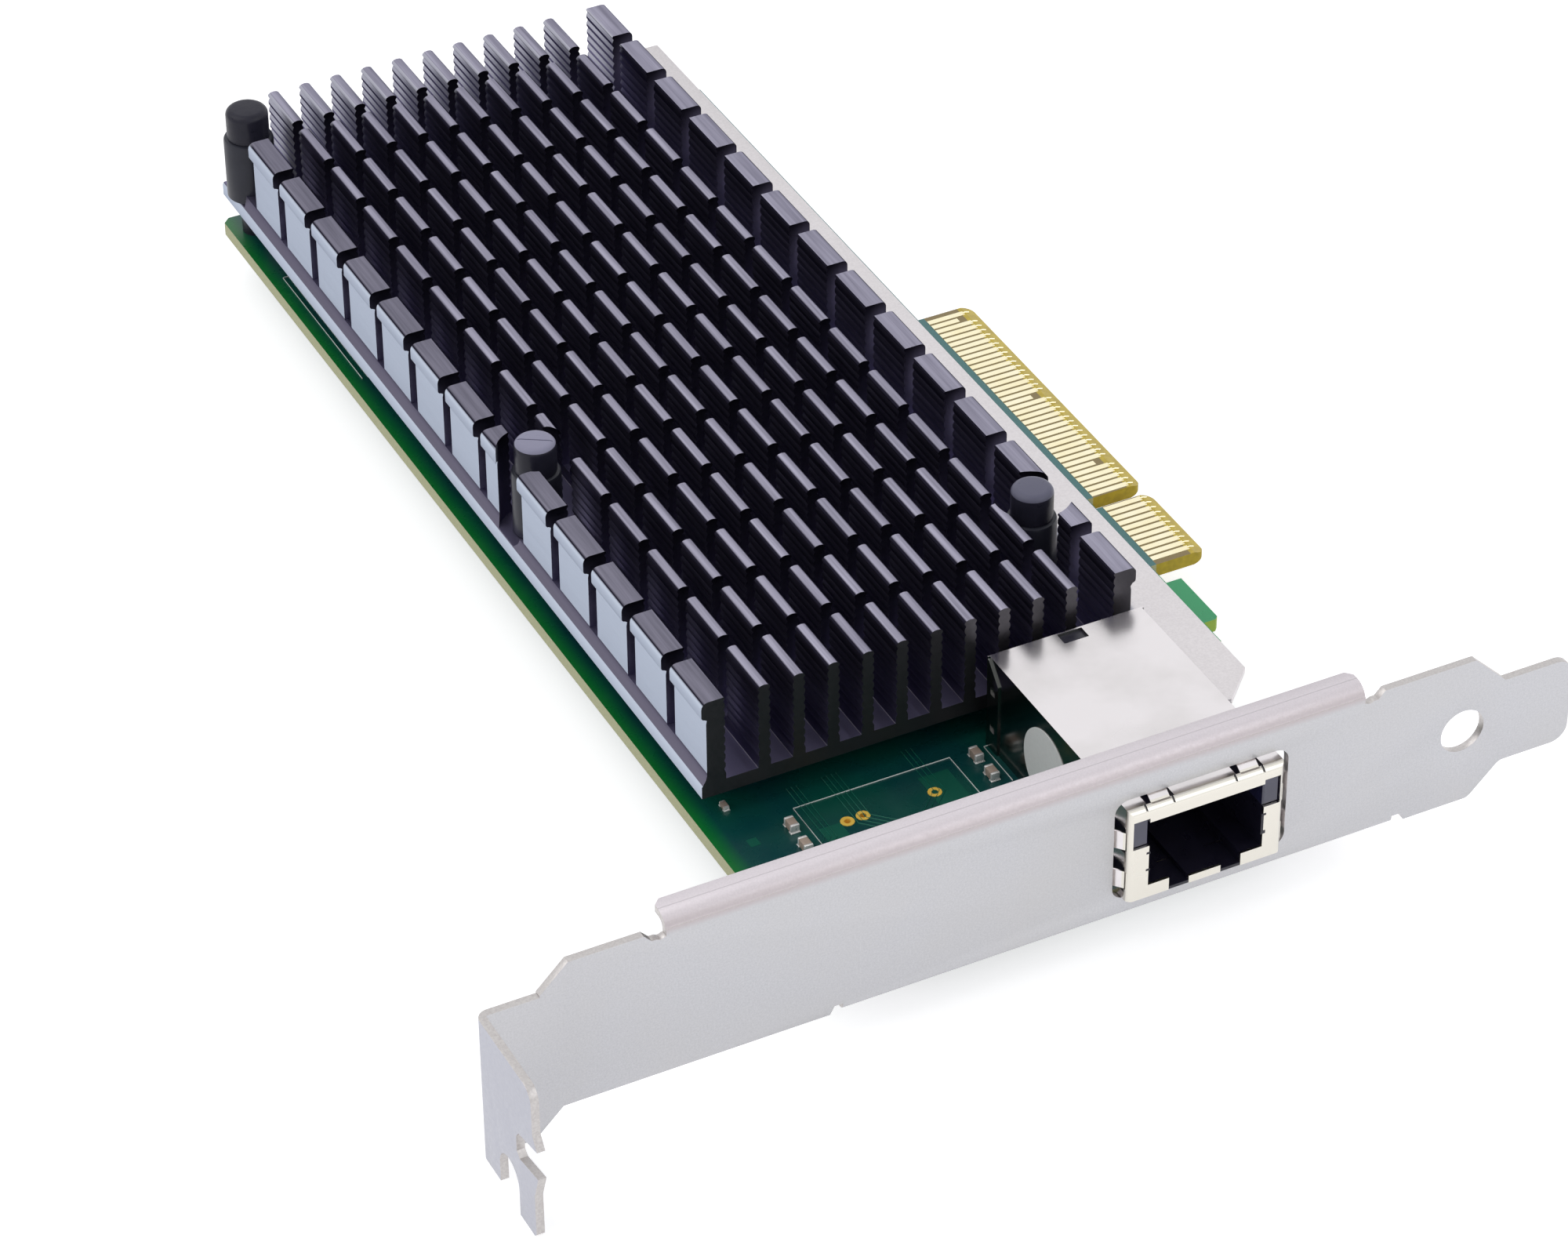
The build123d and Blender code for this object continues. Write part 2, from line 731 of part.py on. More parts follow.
def bracket_plate():
    """The flat with its rounded corners, jack opening and tongue hole."""
    right = bracket_right_x
    plate = across_y(bracket_outline(), 0, sheet)
    uprights = plate.edges().filter_by(Axis.Y)
    tip = uprights.filter_by_position(Axis.X, right - 0.01, right + 0.01)
    plate = fillet(tip, tongue_corner_r)
    uprights = plate.edges().filter_by(Axis.Y)
    root_low_x = tongue_root_x - tongue_root_fall
    root = uprights.filter_by_position(Axis.X, root_low_x - 0.01, tongue_root_x + 0.01)
    root = root.filter_by_position(Axis.Z, bracket_low_z - 0.01, tongue_bottom_z + 0.01)
    plate = fillet(root, tongue_root_r)
    z0 = -opening_bottom_drop
    hole = block(opening_left_x, opening_right_x, -1, sheet + 1, z0, opening_top_z)
    hole = fillet(hole.edges().filter_by(Axis.Y), opening_corner_r)
    plate -= hole
    plate -= Pos(tongue_hole_x, sheet / 2, tongue_hole_z) * Rot(90, 0, 0) * Cylinder(
        tongue_hole_r, sheet * 3)
    for x, side in ((flange_left_x, -1), (flange_right_x, 1)):
        plate -= relief(x, side, flange_relief, flange_relief_slope, bracket_top_z,
                        -flange_relief_depth)
    for x, side in ((ear_left_x, -1), (ear_right_x, 1)):
        plate -= relief(x, side, ear_relief, ear_relief_slope, bracket_low_z, ear_relief_depth)
    return plate


def relief(x, side, width, slope, edge_z, depth):
    """A notch at the end of a bend: upright at x, flat, then sloped back to the edge."""
    end = x + side * width
    points = [(x, edge_z - depth),
              (x, edge_z + depth),
              (end, edge_z + depth),
              (end + side * slope, edge_z),
              (end + side * slope + side * 0.4, edge_z - depth)]
    return across_y(points, -1, sheet + 1)


def bracket_flange():
    """The top edge, rolled back over the board."""
    x0, x1 = flange_left_x, flange_right_x
    top = flange_top_z
    roll = block(x0, x1, 0, sheet, top - flange_bend_r - 0.6, top)
    roll += block(x0, x1, 0, flange_depth, top - sheet, top)
    outer = roll.edges().filter_by(Axis.X).filter_by_position(Axis.Y, -0.01, 0.01)
    roll = fillet(outer.sort_by(Axis.Z)[-1:], flange_bend_r)
    inner = roll.edges().filter_by(Axis.X).filter_by_position(
        Axis.Y, sheet - 0.01, sheet + 0.01)
    roll = fillet(inner.sort_by(Axis.Z)[-1:], flange_bend_r - sheet)
    back = roll.edges().filter_by(Axis.Z).group_by(Axis.Y)[-1]
    return chamfer(back, 0.7)


def bracket_ears():
    """The lower edge, bent back under the board, with an ear near each end."""
    z0 = bracket_low_z
    z1 = z0 + sheet
    lip = block(ear_left_x, ear_right_x, 0, ear_lip_depth, z0, z1)
    first = block(ear_left_x, ear_left_x + ear_width, 0, ear_depth, z0, z1)
    second = block(ear_second_x, ear_second_x + ear_width, 0, ear_depth, z0, z1)
    ears = lip + first + second
    tips = ears.edges().filter_by(Axis.Z).group_by(Axis.Y)[-1]
    ears = chamfer(tips, ear_corner_cut)
    for x, y in screw_places:
        ears -= post(x, y, z0 - 1, z1 + 1, screw_shank_r)
    return ears


def bracket_tab():
    """The screw tab, bent out at a right angle, with its open slot and two prongs."""
    x0 = bracket_left_x
    mouth_y = -tab_depth - tab_mouth_flare
    mouth_top_z = tab_mouth_z + tab_mouth_width
    r = prong_gap_width / 2
    mid = -prong_gap_near - r
    outline = [(sheet, tab_bottom_z),
               (sheet, neck_top_z),
               (-tab_depth, neck_top_z),
               (-tab_depth, tab_lip_top_z),
               (mouth_y, mouth_top_z),
               (tab_slot_end_y, tab_slot_z + tab_slot_width),
               (tab_slot_end_y, tab_slot_z),
               (mouth_y, tab_mouth_z),
               (-tab_depth, tab_lip_low_z),
               (-tab_depth, tab_outer_bottom_z),
               (mid, tab_outer_bottom_z),
               (mid, tab_bottom_z)]
    tab = across_x(outline, x0, x0 + sheet)
    corner = tab.edges().filter_by(Axis.X).filter_by_position(
        Axis.Y, -tab_depth - 0.01, -tab_depth + 0.01)
    tab = fillet(corner.sort_by(Axis.Z)[-1:], tab_corner_r)
    inner = tab.edges().filter_by(Axis.X).filter_by_position(
        Axis.Y, tab_slot_end_y - 0.01, tab_slot_end_y + 0.01)
    tab = chamfer(inner, tab_slot_width / 5)
    tips = tab.edges().filter_by(Axis.X).filter_by_position(
        Axis.Z, tab_outer_bottom_z - 0.01, tab_outer_bottom_z + 0.01)
    tab = chamfer(tips.sort_by(Axis.Y)[:1], tab_bend_r)
    gap = block(x0 - sheet, x0 + 2 * sheet, mid - r, mid + r, tab_outer_bottom_z - 1,
                prong_gap_top - r)
    gap += Pos(x0 + sheet / 2, mid, prong_gap_top - r) * Rot(0, 90, 0) * Cylinder(r, 3 * sheet)
    return tab - gap


def bracket():
    """The whole bracket in one solid."""
    body = bracket_plate() + bracket_tab() + bracket_flange() + bracket_ears()
    r = tab_bend_r
    outer = body.edges().filter_by(Axis.Z).filter_by_position(
        Axis.X, bracket_left_x - 0.01, bracket_left_x + 0.01)
    outer = outer.filter_by_position(Axis.Y, sheet - 0.01, sheet + 0.01)
    body = fillet(outer, sheet + r)
    lower = body.edges().filter_by(Axis.X).filter_by_position(
        Axis.Y, -0.01, 0.01)
    lower = lower.filter_by_position(Axis.Z, bracket_low_z - 0.01, bracket_low_z + 0.01)
    lower = lower.filter_by_position(Axis.X, ear_left_x, ear_right_x)
    return fillet(lower, sheet * 0.8)


def screw(place):
    """A pan-head screw through the board into an ear."""
    x, y = place
    head = post(x, y, 0, screw_head_height, screw_head_r)
    head = chamfer(head.edges().group_by(Axis.Z)[-1], screw_head_bevel)
    shank = post(x, y, screw_end_z, 0, screw_shank_r)
    cross = block(x - screw_socket_r, x + screw_socket_r, y - 0.3, y + 0.3,
                  screw_head_height - screw_socket_depth, screw_head_height + 1)
    cross += block(x - 0.3, x + 0.3, y - screw_socket_r, y + screw_socket_r,
                   screw_head_height - screw_socket_depth, screw_head_height + 1)
    return head + shank - cross


def capacitors():
    """Chip capacitors, each a small brick on the board."""
    bricks = []
    for size, places in ((capacitor_size, capacitor_places),
                         (small_capacitor_size, small_capacitor_places)):
        for x, y in places:
            bricks.append(Pos(x, y, size[2] / 2) * Box(*size))
    return Compound(children=bricks)


def plated_holes():
    """Gold barrels with a ring on each side of the board."""
    barrels = []
    for x, y in plated_hole_places:
        low = -board_thick - plated_ring_rise
        barrel = facet_post(x, y, -board_thick, 0, plated_hole_r + plated_wall)
        barrel += facet_post(x, y, 0, plated_ring_rise, plated_ring_r)
        barrel += facet_post(x, y, low, -board_thick, plated_ring_r)
        barrels.append(barrel - facet_post(x, y, low - 1, 1, plated_hole_r))
    return Compound(children=barrels)


def pieces():
    """Every separate piece of the card, by name."""
    return {
        "circuit_board": board(),
        "edge_contacts_upper": edge_contacts(1),
        "edge_contacts_lower": edge_contacts(-1),
        "heatsink": heatsink(),
        "push_pin_far": push_pin(pin_places[0]),
        "push_pin_middle": push_pin(pin_places[1]),
        "push_pin_front": push_pin(pin_places[2]),
        "pin_sleeve_far": sleeve(pin_places[0]),
        "pin_sleeve_middle": sleeve(pin_places[1]),
        "pin_sleeve_front": sleeve(pin_places[2]),
        "controller_substrate": package_substrate(),
        "controller_lid": package_lid(),
        "thermal_pad": thermal_pad(),
        "edge_rail": rail(),
        "jack_shell": jack_shell(),
        "jack_back_cover": jack_back_cover(),
        "jack_housing": jack_housing(),
        "jack_contacts": jack_contacts(),
        "jack_pins": jack_pins(),
        "light_pipe_left": light_pipe(0),
        "light_pipe_right": light_pipe(1),
        "jack_sticker": sticker(),
        "bracket": bracket(),
        "bracket_screw_left": screw(screw_places[0]),
        "bracket_screw_right": screw(screw_places[1]),
        "chip_capacitors": capacitors(),
        "plated_holes": plated_holes(),
    }


os.makedirs("parts", exist_ok=True)
for name, shape in pieces().items():
    export_step(shape, "parts/" + name + ".step")
    print(name, round(shape.volume, 2), len(shape.solids()))
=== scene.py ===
import math

import bmesh
import bpy
from mathutils import Matrix, Vector


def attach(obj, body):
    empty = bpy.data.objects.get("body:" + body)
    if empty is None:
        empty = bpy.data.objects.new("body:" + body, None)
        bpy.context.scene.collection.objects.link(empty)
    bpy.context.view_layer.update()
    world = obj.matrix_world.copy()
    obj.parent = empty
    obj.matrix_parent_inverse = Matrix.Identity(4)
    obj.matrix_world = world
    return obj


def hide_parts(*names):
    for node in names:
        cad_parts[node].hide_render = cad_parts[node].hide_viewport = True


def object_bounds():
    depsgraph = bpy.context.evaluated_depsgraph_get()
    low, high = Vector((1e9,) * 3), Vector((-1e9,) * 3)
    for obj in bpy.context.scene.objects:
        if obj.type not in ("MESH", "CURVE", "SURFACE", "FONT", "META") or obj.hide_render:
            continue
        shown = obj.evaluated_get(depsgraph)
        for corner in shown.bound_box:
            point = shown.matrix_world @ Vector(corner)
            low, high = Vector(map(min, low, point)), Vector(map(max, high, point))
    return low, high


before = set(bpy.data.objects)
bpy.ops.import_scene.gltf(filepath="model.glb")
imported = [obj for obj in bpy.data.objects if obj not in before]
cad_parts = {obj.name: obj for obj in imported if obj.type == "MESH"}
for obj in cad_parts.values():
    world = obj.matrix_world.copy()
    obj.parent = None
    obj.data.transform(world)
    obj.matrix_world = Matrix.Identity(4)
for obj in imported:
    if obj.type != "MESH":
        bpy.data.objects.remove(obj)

CAD_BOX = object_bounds()
MM = 0.001


# ---- Camera, lamps, floor and world ----
# The card is seen from above and from the left of its bracket, on a white ground under
# wide soft light. The camera has no shift and no depth of field. The floor is clear from
# below, so that the underside can be seen.
def linked(name, data):
    """An object with this data, in the scene."""
    made = bpy.data.objects.new(name, data)
    bpy.context.collection.objects.link(made)
    return made


camera_right = Vector((0.89163, -0.4527, -0.00707))
camera_up = Vector((0.27848, 0.53605, 0.79693))
camera_back = Vector((-0.35698, -0.71254, 0.60403))
camera_place = Vector((-182.992, -355.913, 348.291)) * MM

camera_data = bpy.data.cameras.new("camera")
camera_data.sensor_width = 36.0
camera_data.lens = 127.042
camera_data.clip_start = 0.01
camera_data.clip_end = 20.0
camera = linked("camera", camera_data)
camera_turn = Matrix((camera_right, camera_up, camera_back)).transposed()
camera.matrix_world = Matrix.Translation(camera_place) @ camera_turn.to_4x4()
bpy.context.scene.camera = camera
bpy.context.scene.view_settings.view_transform = "Standard"

card_middle = Vector((0.02, 0.07, 0.0))


def soft_lamp(name, place, size, watts, colour):
    """A wide lamp that looks at the middle of the card."""
    data = bpy.data.lights.new(name, "AREA")
    data.shape = "RECTANGLE"
    data.size, data.size_y = size
    data.energy = watts
    data.color = colour
    lamp = linked(name, data)
    lamp.location = place
    lamp.rotation_euler = (card_middle - Vector(place)).to_track_quat("-Z", "Y").to_euler()
    return lamp


soft_lamp("key_lamp", (-0.9, 0.35, 1.3), (1.5, 1.5), 8.0, (1.0, 0.99, 0.97))
soft_lamp("fill_lamp", (0.7, -1.1, 0.9), (1.6, 1.2), 4.0, (0.96, 0.98, 1.0))
back_lamp = soft_lamp("back_lamp", (0.6, 1.2, 1.2), (1.6, 1.0), 5.0, (1.0, 0.98, 1.0))
back_lamp.visible_glossy = False

ground_diffuse = (0.72, 0.72, 0.73, 1.0)
ground_glow = 0.62
sky_light = 0.5
sky_glow = 0.5


def shader_node(tree, kind, *sources, **values):
    """A shader node with its first inputs linked to the sources and others set by name."""
    made = tree.nodes.new("ShaderNode" + kind)
    for socket, source in zip(made.inputs, sources):
        tree.links.new(source, socket)
    for key, value in values.items():
        made.inputs[key].default_value = value
    return made


def with_white_view(tree, shader, strength):
    """Adds a white glow that only the camera, gloss and glass see."""
    rays = shader_node(tree, "LightPath").outputs
    seen = rays["Is Camera Ray"]
    for ray in ("Is Glossy Ray", "Is Transmission Ray"):
        either = shader_node(tree, "Math", seen, rays[ray])
        either.operation = "MAXIMUM"
        seen = either.outputs[0]
    dark = shader_node(tree, "Emission", Strength=0.0).outputs[0]
    glow = shader_node(tree, "Emission", Strength=strength).outputs[0]
    pick = shader_node(tree, "MixShader", seen, dark, glow).outputs[0]
    return shader_node(tree, "AddShader", shader, pick).outputs[0]


floor_reach = 3.0
floor_z = CAD_BOX[0][2]
floor_corners = [(x * floor_reach, y * floor_reach, floor_z)
                 for x, y in ((-1, -1), (1, -1), (1, 1), (-1, 1))]
floor_mesh = bpy.data.meshes.new("floor")
floor_mesh.from_pydata(floor_corners, [], [(0, 1, 2, 3)])
floor = linked("floor", floor_mesh)
floor_paint = bpy.data.materials.new("floor_paint")
floor_paint.use_nodes = True
tree = floor_paint.node_tree
tree.nodes.clear()
white_floor = with_white_view(
    tree, shader_node(tree, "BsdfDiffuse", Color=ground_diffuse).outputs[0], ground_glow)
from_below = shader_node(tree, "NewGeometry").outputs["Backfacing"]
clear = shader_node(tree, "BsdfTransparent").outputs[0]
one_sided = shader_node(tree, "MixShader", from_below, white_floor, clear)
shader_node(tree, "OutputMaterial", one_sided.outputs[0])
floor.data.materials.append(floor_paint)

world = bpy.data.worlds.new("studio")
bpy.context.scene.world = world
world.use_nodes = True
tree = world.node_tree
tree.nodes.clear()
sky = shader_node(tree, "Background", Color=(0.97, 0.98, 1.0, 1.0), Strength=sky_light)
shader_node(tree, "OutputWorld", with_white_view(tree, sky.outputs[0], sky_glow))


# ---- Bare board ----
# A four-layer sheet of glass-fibre laminate with glossy green solder mask on both faces.
# Its routed edges show the cream laminate, and the card edge is bare and amber.
class Finish:
    """A surface finish: one shader, with its patterns placed on the card's coordinates."""

    def __init__(self, name, colour, metallic=0.0, roughness=0.5, specular=0.5, coat=0.0):
        self.material = bpy.data.materials.new(name)
        self.material.use_nodes = True
        self.tree = self.material.node_tree
        self.shader = self.tree.nodes["Principled BSDF"]
        for key, value in (("Base Color", colour), ("Metallic", metallic),
                           ("Roughness", roughness), ("Specular IOR Level", specular),
                           ("Coat Weight", coat)):
            self.feed(self.shader.inputs[key], value)
        self.place = self.add("ShaderNodeTexCoord").outputs["Object"]

    def add(self, kind, inputs=None, **settings):
        node = self.tree.nodes.new(kind)
        for key, value in settings.items():
            setattr(node, key, value)
        for key, value in (inputs or {}).items():
            self.feed(node.inputs[key], value)
        return node

    def feed(self, socket, value):
        if isinstance(value, bpy.types.NodeSocket):
            self.tree.links.new(value, socket)
        elif isinstance(value, tuple) and len(value) == 3 and socket.type == "RGBA":
            socket.default_value = (*value, 1.0)
        else:
            socket.default_value = value

    def grain(self, scale, detail, stretch=(1, 1, 1)):
        """Noise from 0 to 1, scale times a metre, finer along a stretched axis."""
        place = self.add("ShaderNodeMapping", {0: self.place, 3: stretch}).outputs[0]
        return self.add("ShaderNodeTexNoise", {"Vector": place, "Scale": scale,
                                               "Detail": detail}).outputs["Fac"]

    def axis(self, letter):
        """One of the card's coordinates, in metres."""
        return self.add("ShaderNodeSeparateXYZ", {0: self.place}).outputs[letter]

    def facing(self, letter):
        """How much the surface faces along an axis, from -1 to 1."""
        normal = self.add("ShaderNodeNewGeometry").outputs["Normal"]
        return self.add("ShaderNodeSeparateXYZ", {0: normal}).outputs[letter]

    def math(self, operation, first, second=0.0):
        return self.add("ShaderNodeMath", {0: first, 1: second}, operation=operation).outputs[0]

    def spread(self, value, low, high, out_low=0.0, out_high=1.0):
        """The value's range from low to high, moved to another range and held inside it."""
        return self.add("ShaderNodeMapRange", {0: value, 1: low, 2: high, 3: out_low,
                                               4: out_high}).outputs[0]

    def blend(self, share, first, second):
        """The first colour, or the second as the share nears 1."""
        return self.add("ShaderNodeMix", {"Factor": share, 6: first, 7: second},
                        data_type="RGBA").outputs[2]

    def above(self, value, edge):
        """1 where the value is over the edge, else 0."""
        return self.math("GREATER_THAN", value, edge)

    def below(self, value, edge):
        return self.math("LESS_THAN", value, edge)

    def past(self, letter, edge_mm):
        """1 beyond a place on one of the card's axes, else 0."""
        return self.above(self.axis(letter), edge_mm * MM)

    def before(self, letter, edge_mm):
        return self.below(self.axis(letter), edge_mm * MM)

    def times(self, first, second):
        return self.math("MULTIPLY", first, second)

    def size_of(self, value):
        return self.math("ABSOLUTE", value)

    def colour(self, value):
        self.feed(self.shader.inputs["Base Color"], value)

    def rough(self, value):
        self.feed(self.shader.inputs["Roughness"], value)

    def bump(self, height, depth_mm, strength=1.0):
        """Relief of the given depth."""
        node = self.add("ShaderNodeBump", {"Height": height, "Distance": depth_mm * MM,
                                           "Strength": strength})
        self.feed(self.shader.inputs["Normal"], node.outputs[0])

    def two_tone(self, grain, dark, light):
        """Colour that drifts between two tones with a grain."""
        self.colour(self.blend(self.grain(*grain), dark, light))

    def uneven(self, grain, low, high):
        """Roughness that drifts between two values with a grain."""
        self.rough(self.spread(self.grain(*grain), 0.3, 0.7, low, high))

    def relief(self, grain=(3000, 3), depth_mm=0.01, strength=0.5):
        """Fine relief that follows a grain."""
        self.bump(self.grain(*grain), depth_mm, strength)


def dress(finish, *nodes):
    """Gives CAD nodes their finish."""
    for node in nodes:
        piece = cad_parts[node]
        if not piece.data.materials:
            piece.data.materials.append(finish.material)
        for slot in piece.material_slots:
            slot.material = finish.material


mask_green = (0.004, 0.17, 0.030)
# Painted shade: the two teal tones are the mask darkened as the heatsink shades it, and only the
# left rim keeps the bright green.
shaded_mask_deep = (0.003, 0.083, 0.058)
shaded_mask_teal = (0.003, 0.056, 0.058)
shade_from_x = 0.3
shade_until_x = 1.9
laminate_cream = (0.55, 0.55, 0.34)
laminate_layer = (0.36, 0.40, 0.20)
edge_amber = (0.62, 0.47, 0.035)
edge_amber_deep = (0.50, 0.37, 0.03)
between_contacts = (0.26, 0.19, 0.07)
contacts_until_x = 66.4
edge_teal = (0.055, 0.19, 0.19)
tab_green = (0.026, 0.34, 0.13)
tab_edge_green = (0.42, 0.60, 0.10)
bare_edge_from_x = 62.2
teal_strip_from_x = 60.6
layer_pitch = 0.26
tab_until_y = 44.0

board_finish = f = Finish("board_mask_and_laminate", mask_green, roughness=0.3)
# Painted shade: the face fades from bright green at its left rim to the darker teal tones inward,
# for the heatsink's shade; the grain between the two teal tones is the mask's own unevenness.
mask_tone = f.blend(f.spread(f.grain(90, 2), 0.4, 0.62), shaded_mask_teal, shaded_mask_deep)
mask_tone = f.blend(f.spread(f.axis("X"), shade_from_x * MM, shade_until_x * MM), mask_green,
                    mask_tone)
past_strip = f.past("X", teal_strip_from_x)
mask_tone = f.blend(past_strip, mask_tone, edge_teal)
bare = f.blend(f.spread(f.grain(1400, 4), 0.35, 0.65), edge_amber_deep, edge_amber)
is_bare = f.past("X", bare_edge_from_x)
tab_face = f.times(past_strip, f.before("Y", tab_until_y))
bare_face = f.blend(f.before("X", contacts_until_x), bare, between_contacts)
face_tone = f.blend(is_bare, mask_tone, bare_face)
face_tone = f.blend(tab_face, face_tone, tab_green)
layers = f.math("FRACT", f.math("DIVIDE", f.axis("Z"), layer_pitch * MM))
weave = f.spread(f.grain(2600, 5), 0.35, 0.7)
edge_tone = f.blend(f.times(f.below(layers, 0.3), weave), laminate_cream, laminate_layer)
edge_tone = f.blend(is_bare, edge_tone, bare)
edge_tone = f.blend(tab_face, edge_tone, tab_edge_green)
is_face = f.above(f.size_of(f.facing("Z")), 0.5)
f.colour(f.blend(is_face, edge_tone, face_tone))
f.rough(f.blend(is_face, (0.7, 0.7, 0.7), f.spread(f.grain(300, 3), 0.3, 0.7, 0.22, 0.34)))
f.relief((900, 4), 0.02)
dress(board_finish, "circuit_board")


# ---- Traces and vias ----
# Copper under the solder mask stands a few hundredths of a millimetre proud and shows as
# paler green lines with 45-degree bends, which end in drilled and covered vias.
def with_modifiers(piece):
    """The piece's mesh as its modifiers make it."""
    graph = bpy.context.evaluated_depsgraph_get()
    return bpy.data.meshes.new_from_object(piece.evaluated_get(graph))


class Recipe:
    """A Geometry Nodes tree with named sizes; grow() turns what it makes into a mesh."""

    def __init__(self, name):
        self.tree = bpy.data.node_groups.new(name, "GeometryNodeTree")
        for side in ("INPUT", "OUTPUT"):
            self.tree.interface.new_socket("Geometry", in_out=side,
                                           socket_type="NodeSocketGeometry")
        self.given = self.tree.nodes.new("NodeGroupInput")
        self.sockets = {}

    def size(self, name, kind="Float"):
        socket = self.tree.interface.new_socket(name, in_out="INPUT",
                                                socket_type="NodeSocket" + kind)
        self.sockets[name] = socket.identifier
        return self.given.outputs[name]

    def add(self, kind, inputs=None, **settings):
        node = self.tree.nodes.new("GeometryNode" + kind)
        for key, value in settings.items():
            setattr(node, key, value)
        for key, value in (inputs or {}).items():
            if isinstance(value, bpy.types.NodeSocket):
                self.tree.links.new(value, node.inputs[key])
            else:
                node.inputs[key].default_value = value
        return node.outputs[0]

    def end(self, geometry):
        """Real geometry in one material, as the tree's result."""
        real = self.add("RealizeInstances", {0: geometry})
        coated = self.add("SetMaterial", {"Geometry": real,
                                          "Material": self.size("Finish", "Material")})
        self.tree.links.new(coated, self.tree.nodes.new("NodeGroupOutput").inputs[0])

    def grow(self, name, finish, points, edges=(), faces=(), **sizes):
        seed = bpy.data.meshes.new(name)
        seed.from_pydata([Vector(p) * MM for p in points], edges, faces)
        start = linked(name, seed)
        modifier = start.modifiers.new(name, "NODES")
        modifier.node_group = self.tree
        modifier[self.sockets["Finish"]] = finish.material
        for key, value in sizes.items():
            modifier[self.sockets[key.replace("_", " ")]] = value
        mesh = with_modifiers(start)
        bpy.data.objects.remove(start)
        mesh.name = name
        return linked(name, mesh)


def finished(piece, slot, *replaced):
    """Rides on the card and stands for the named CAD nodes. The slot is not used."""
    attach(piece, "root")
    if replaced:
        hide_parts(*replaced)


ribbon = Recipe("ribbon_along_lines")
ribbon_section = ribbon.add("CurvePrimitiveQuadrilateral", {
    "Width": ribbon.size("Width"), "Height": ribbon.size("Thickness")})
ribbon_path = ribbon.add("MeshToCurve", {0: ribbon.given.outputs[0]})
ribbon.end(ribbon.add("CurveToMesh", {0: ribbon_path, 1: ribbon_section, "Fill Caps": True}))


def flat_lines(name, paths, finish, width, thickness):
    """Flat ribbons along open lines."""
    points, edges = [], []
    for path in paths:
        first = len(points)
        points += path
        edges += [(first + i, first + i + 1) for i in range(len(path) - 1)]
    return ribbon.grow(name, finish, points, edges, Width=thickness * MM,
                       Thickness=width * MM)


def beside(path, distance):
    """The same bent line, moved sideways so that its corners nest."""
    moved = []
    for i, here in enumerate(path):
        before = Vector(here) - Vector(path[i - 1]) if i > 0 else None
        after = Vector(path[i + 1]) - Vector(here) if i < len(path) - 1 else before
        before = (before or after).normalized()
        after = after.normalized()
        normal = Vector((-before.y - after.y, before.x + after.x)).normalized()
        reach = distance / max(0.3, normal.dot(Vector((-before.y, before.x))))
        moved.append((here[0] + normal.x * reach, here[1] + normal.y * reach))
    return moved


trace_width = 0.2
trace_rise = 0.03
trace_pitch = 0.55
board_bottom = -1.57
# Each bundle: how many lines, and the bent path of the first, as (x, y).
upper_bundles = (
    (4, ((24, 5), (24, 9.5), (20.5, 13), (20.5, 18), (16, 22.5), (16, 30))),
    (3, ((12, 4), (12, 8.5), (9.5, 11), (9.5, 19), (11.5, 21), (11.5, 30))),
    (3, ((29, 3), (29, 8), (26, 11), (26, 18))),
    (2, ((18.5, 6), (15.5, 9), (15.5, 17), (13, 19.5))),
    (3, ((21.5, 19.5), (24.5, 22.5), (24.5, 30))),
)
lower_bundles = (
    (5, ((60.5, 47.5), (52, 47.5), (45, 54.5), (45, 78), (38, 85), (34, 85))),
    (6, ((60.5, 60), (55, 60), (50, 65), (50, 88), (44, 94), (36, 94))),
    (6, ((60.5, 76), (57, 76), (54, 79), (54, 97), (47, 104), (34, 104))),
    (4, ((60.5, 92), (57.5, 95), (57.5, 108), (50, 115.5), (30, 115.5))),
    (5, ((36, 22), (36, 34), (28, 42), (28, 70), (22, 76), (22, 84))),
    (4, ((45, 22), (45, 32), (38, 39), (38, 62), (31, 69), (31, 82))),
    (4, ((10, 20), (10, 52), (15, 57), (15, 96), (10, 101), (10, 128))),
    (5, ((20, 108), (20, 122), (28, 130), (28, 147))),
    (4, ((40, 124), (40, 134), (34, 140), (20, 140))),
)


def bundle_paths(bundles, z):
    """Every line of the bundles, at one height."""
    return [[(x, y, z) for x, y in beside(path, k * trace_pitch)]
            for count, path in bundles for k in range(count)]


trace_finish = Finish("mask_over_copper", (0.008, 0.16, 0.11), roughness=0.3)
trace_finish.two_tone((200, 3), (0.006, 0.13, 0.09), (0.012, 0.21, 0.14))
trace_finish.uneven((700, 3), 0.25, 0.4)
trace_finish.relief((1500, 3), 0.01)
upper_paths = bundle_paths(upper_bundles, trace_rise / 2)
lower_paths = bundle_paths(lower_bundles, board_bottom - trace_rise / 2)
traces = flat_lines("board_traces", upper_paths + lower_paths, trace_finish, trace_width,
                    trace_rise)
finished(traces, "board_laminate")

via_r = 0.32
via_rise = 0.05
vias_recipe = Recipe("covered_vias")
via_disc = vias_recipe.add("MeshCone", {
    "Vertices": 12, "Radius Top": vias_recipe.size("Top Radius"),
    "Radius Bottom": vias_recipe.size("Radius"), "Depth": vias_recipe.size("Height")})
vias_recipe.end(vias_recipe.add("InstanceOnPoints", {
    0: vias_recipe.given.outputs[0], "Instance": via_disc}))
upper_ends = [path[-1] for path in upper_paths] + [path[0] for path in upper_paths]
stitching = [(28.5 - 3.1 * i, 2.6 + 0.9 * (i % 2), trace_rise / 2) for i in range(9)]
via_points = [(x, y, -via_rise / 4) for x, y, z in upper_ends + stitching if y < 29.5]
under_points = [(x, y, board_bottom - via_rise) for path in lower_paths
                for x, y, z in (path[0], path[-1])]
via_top_r = via_r * 0.6
via_height = via_rise * 2
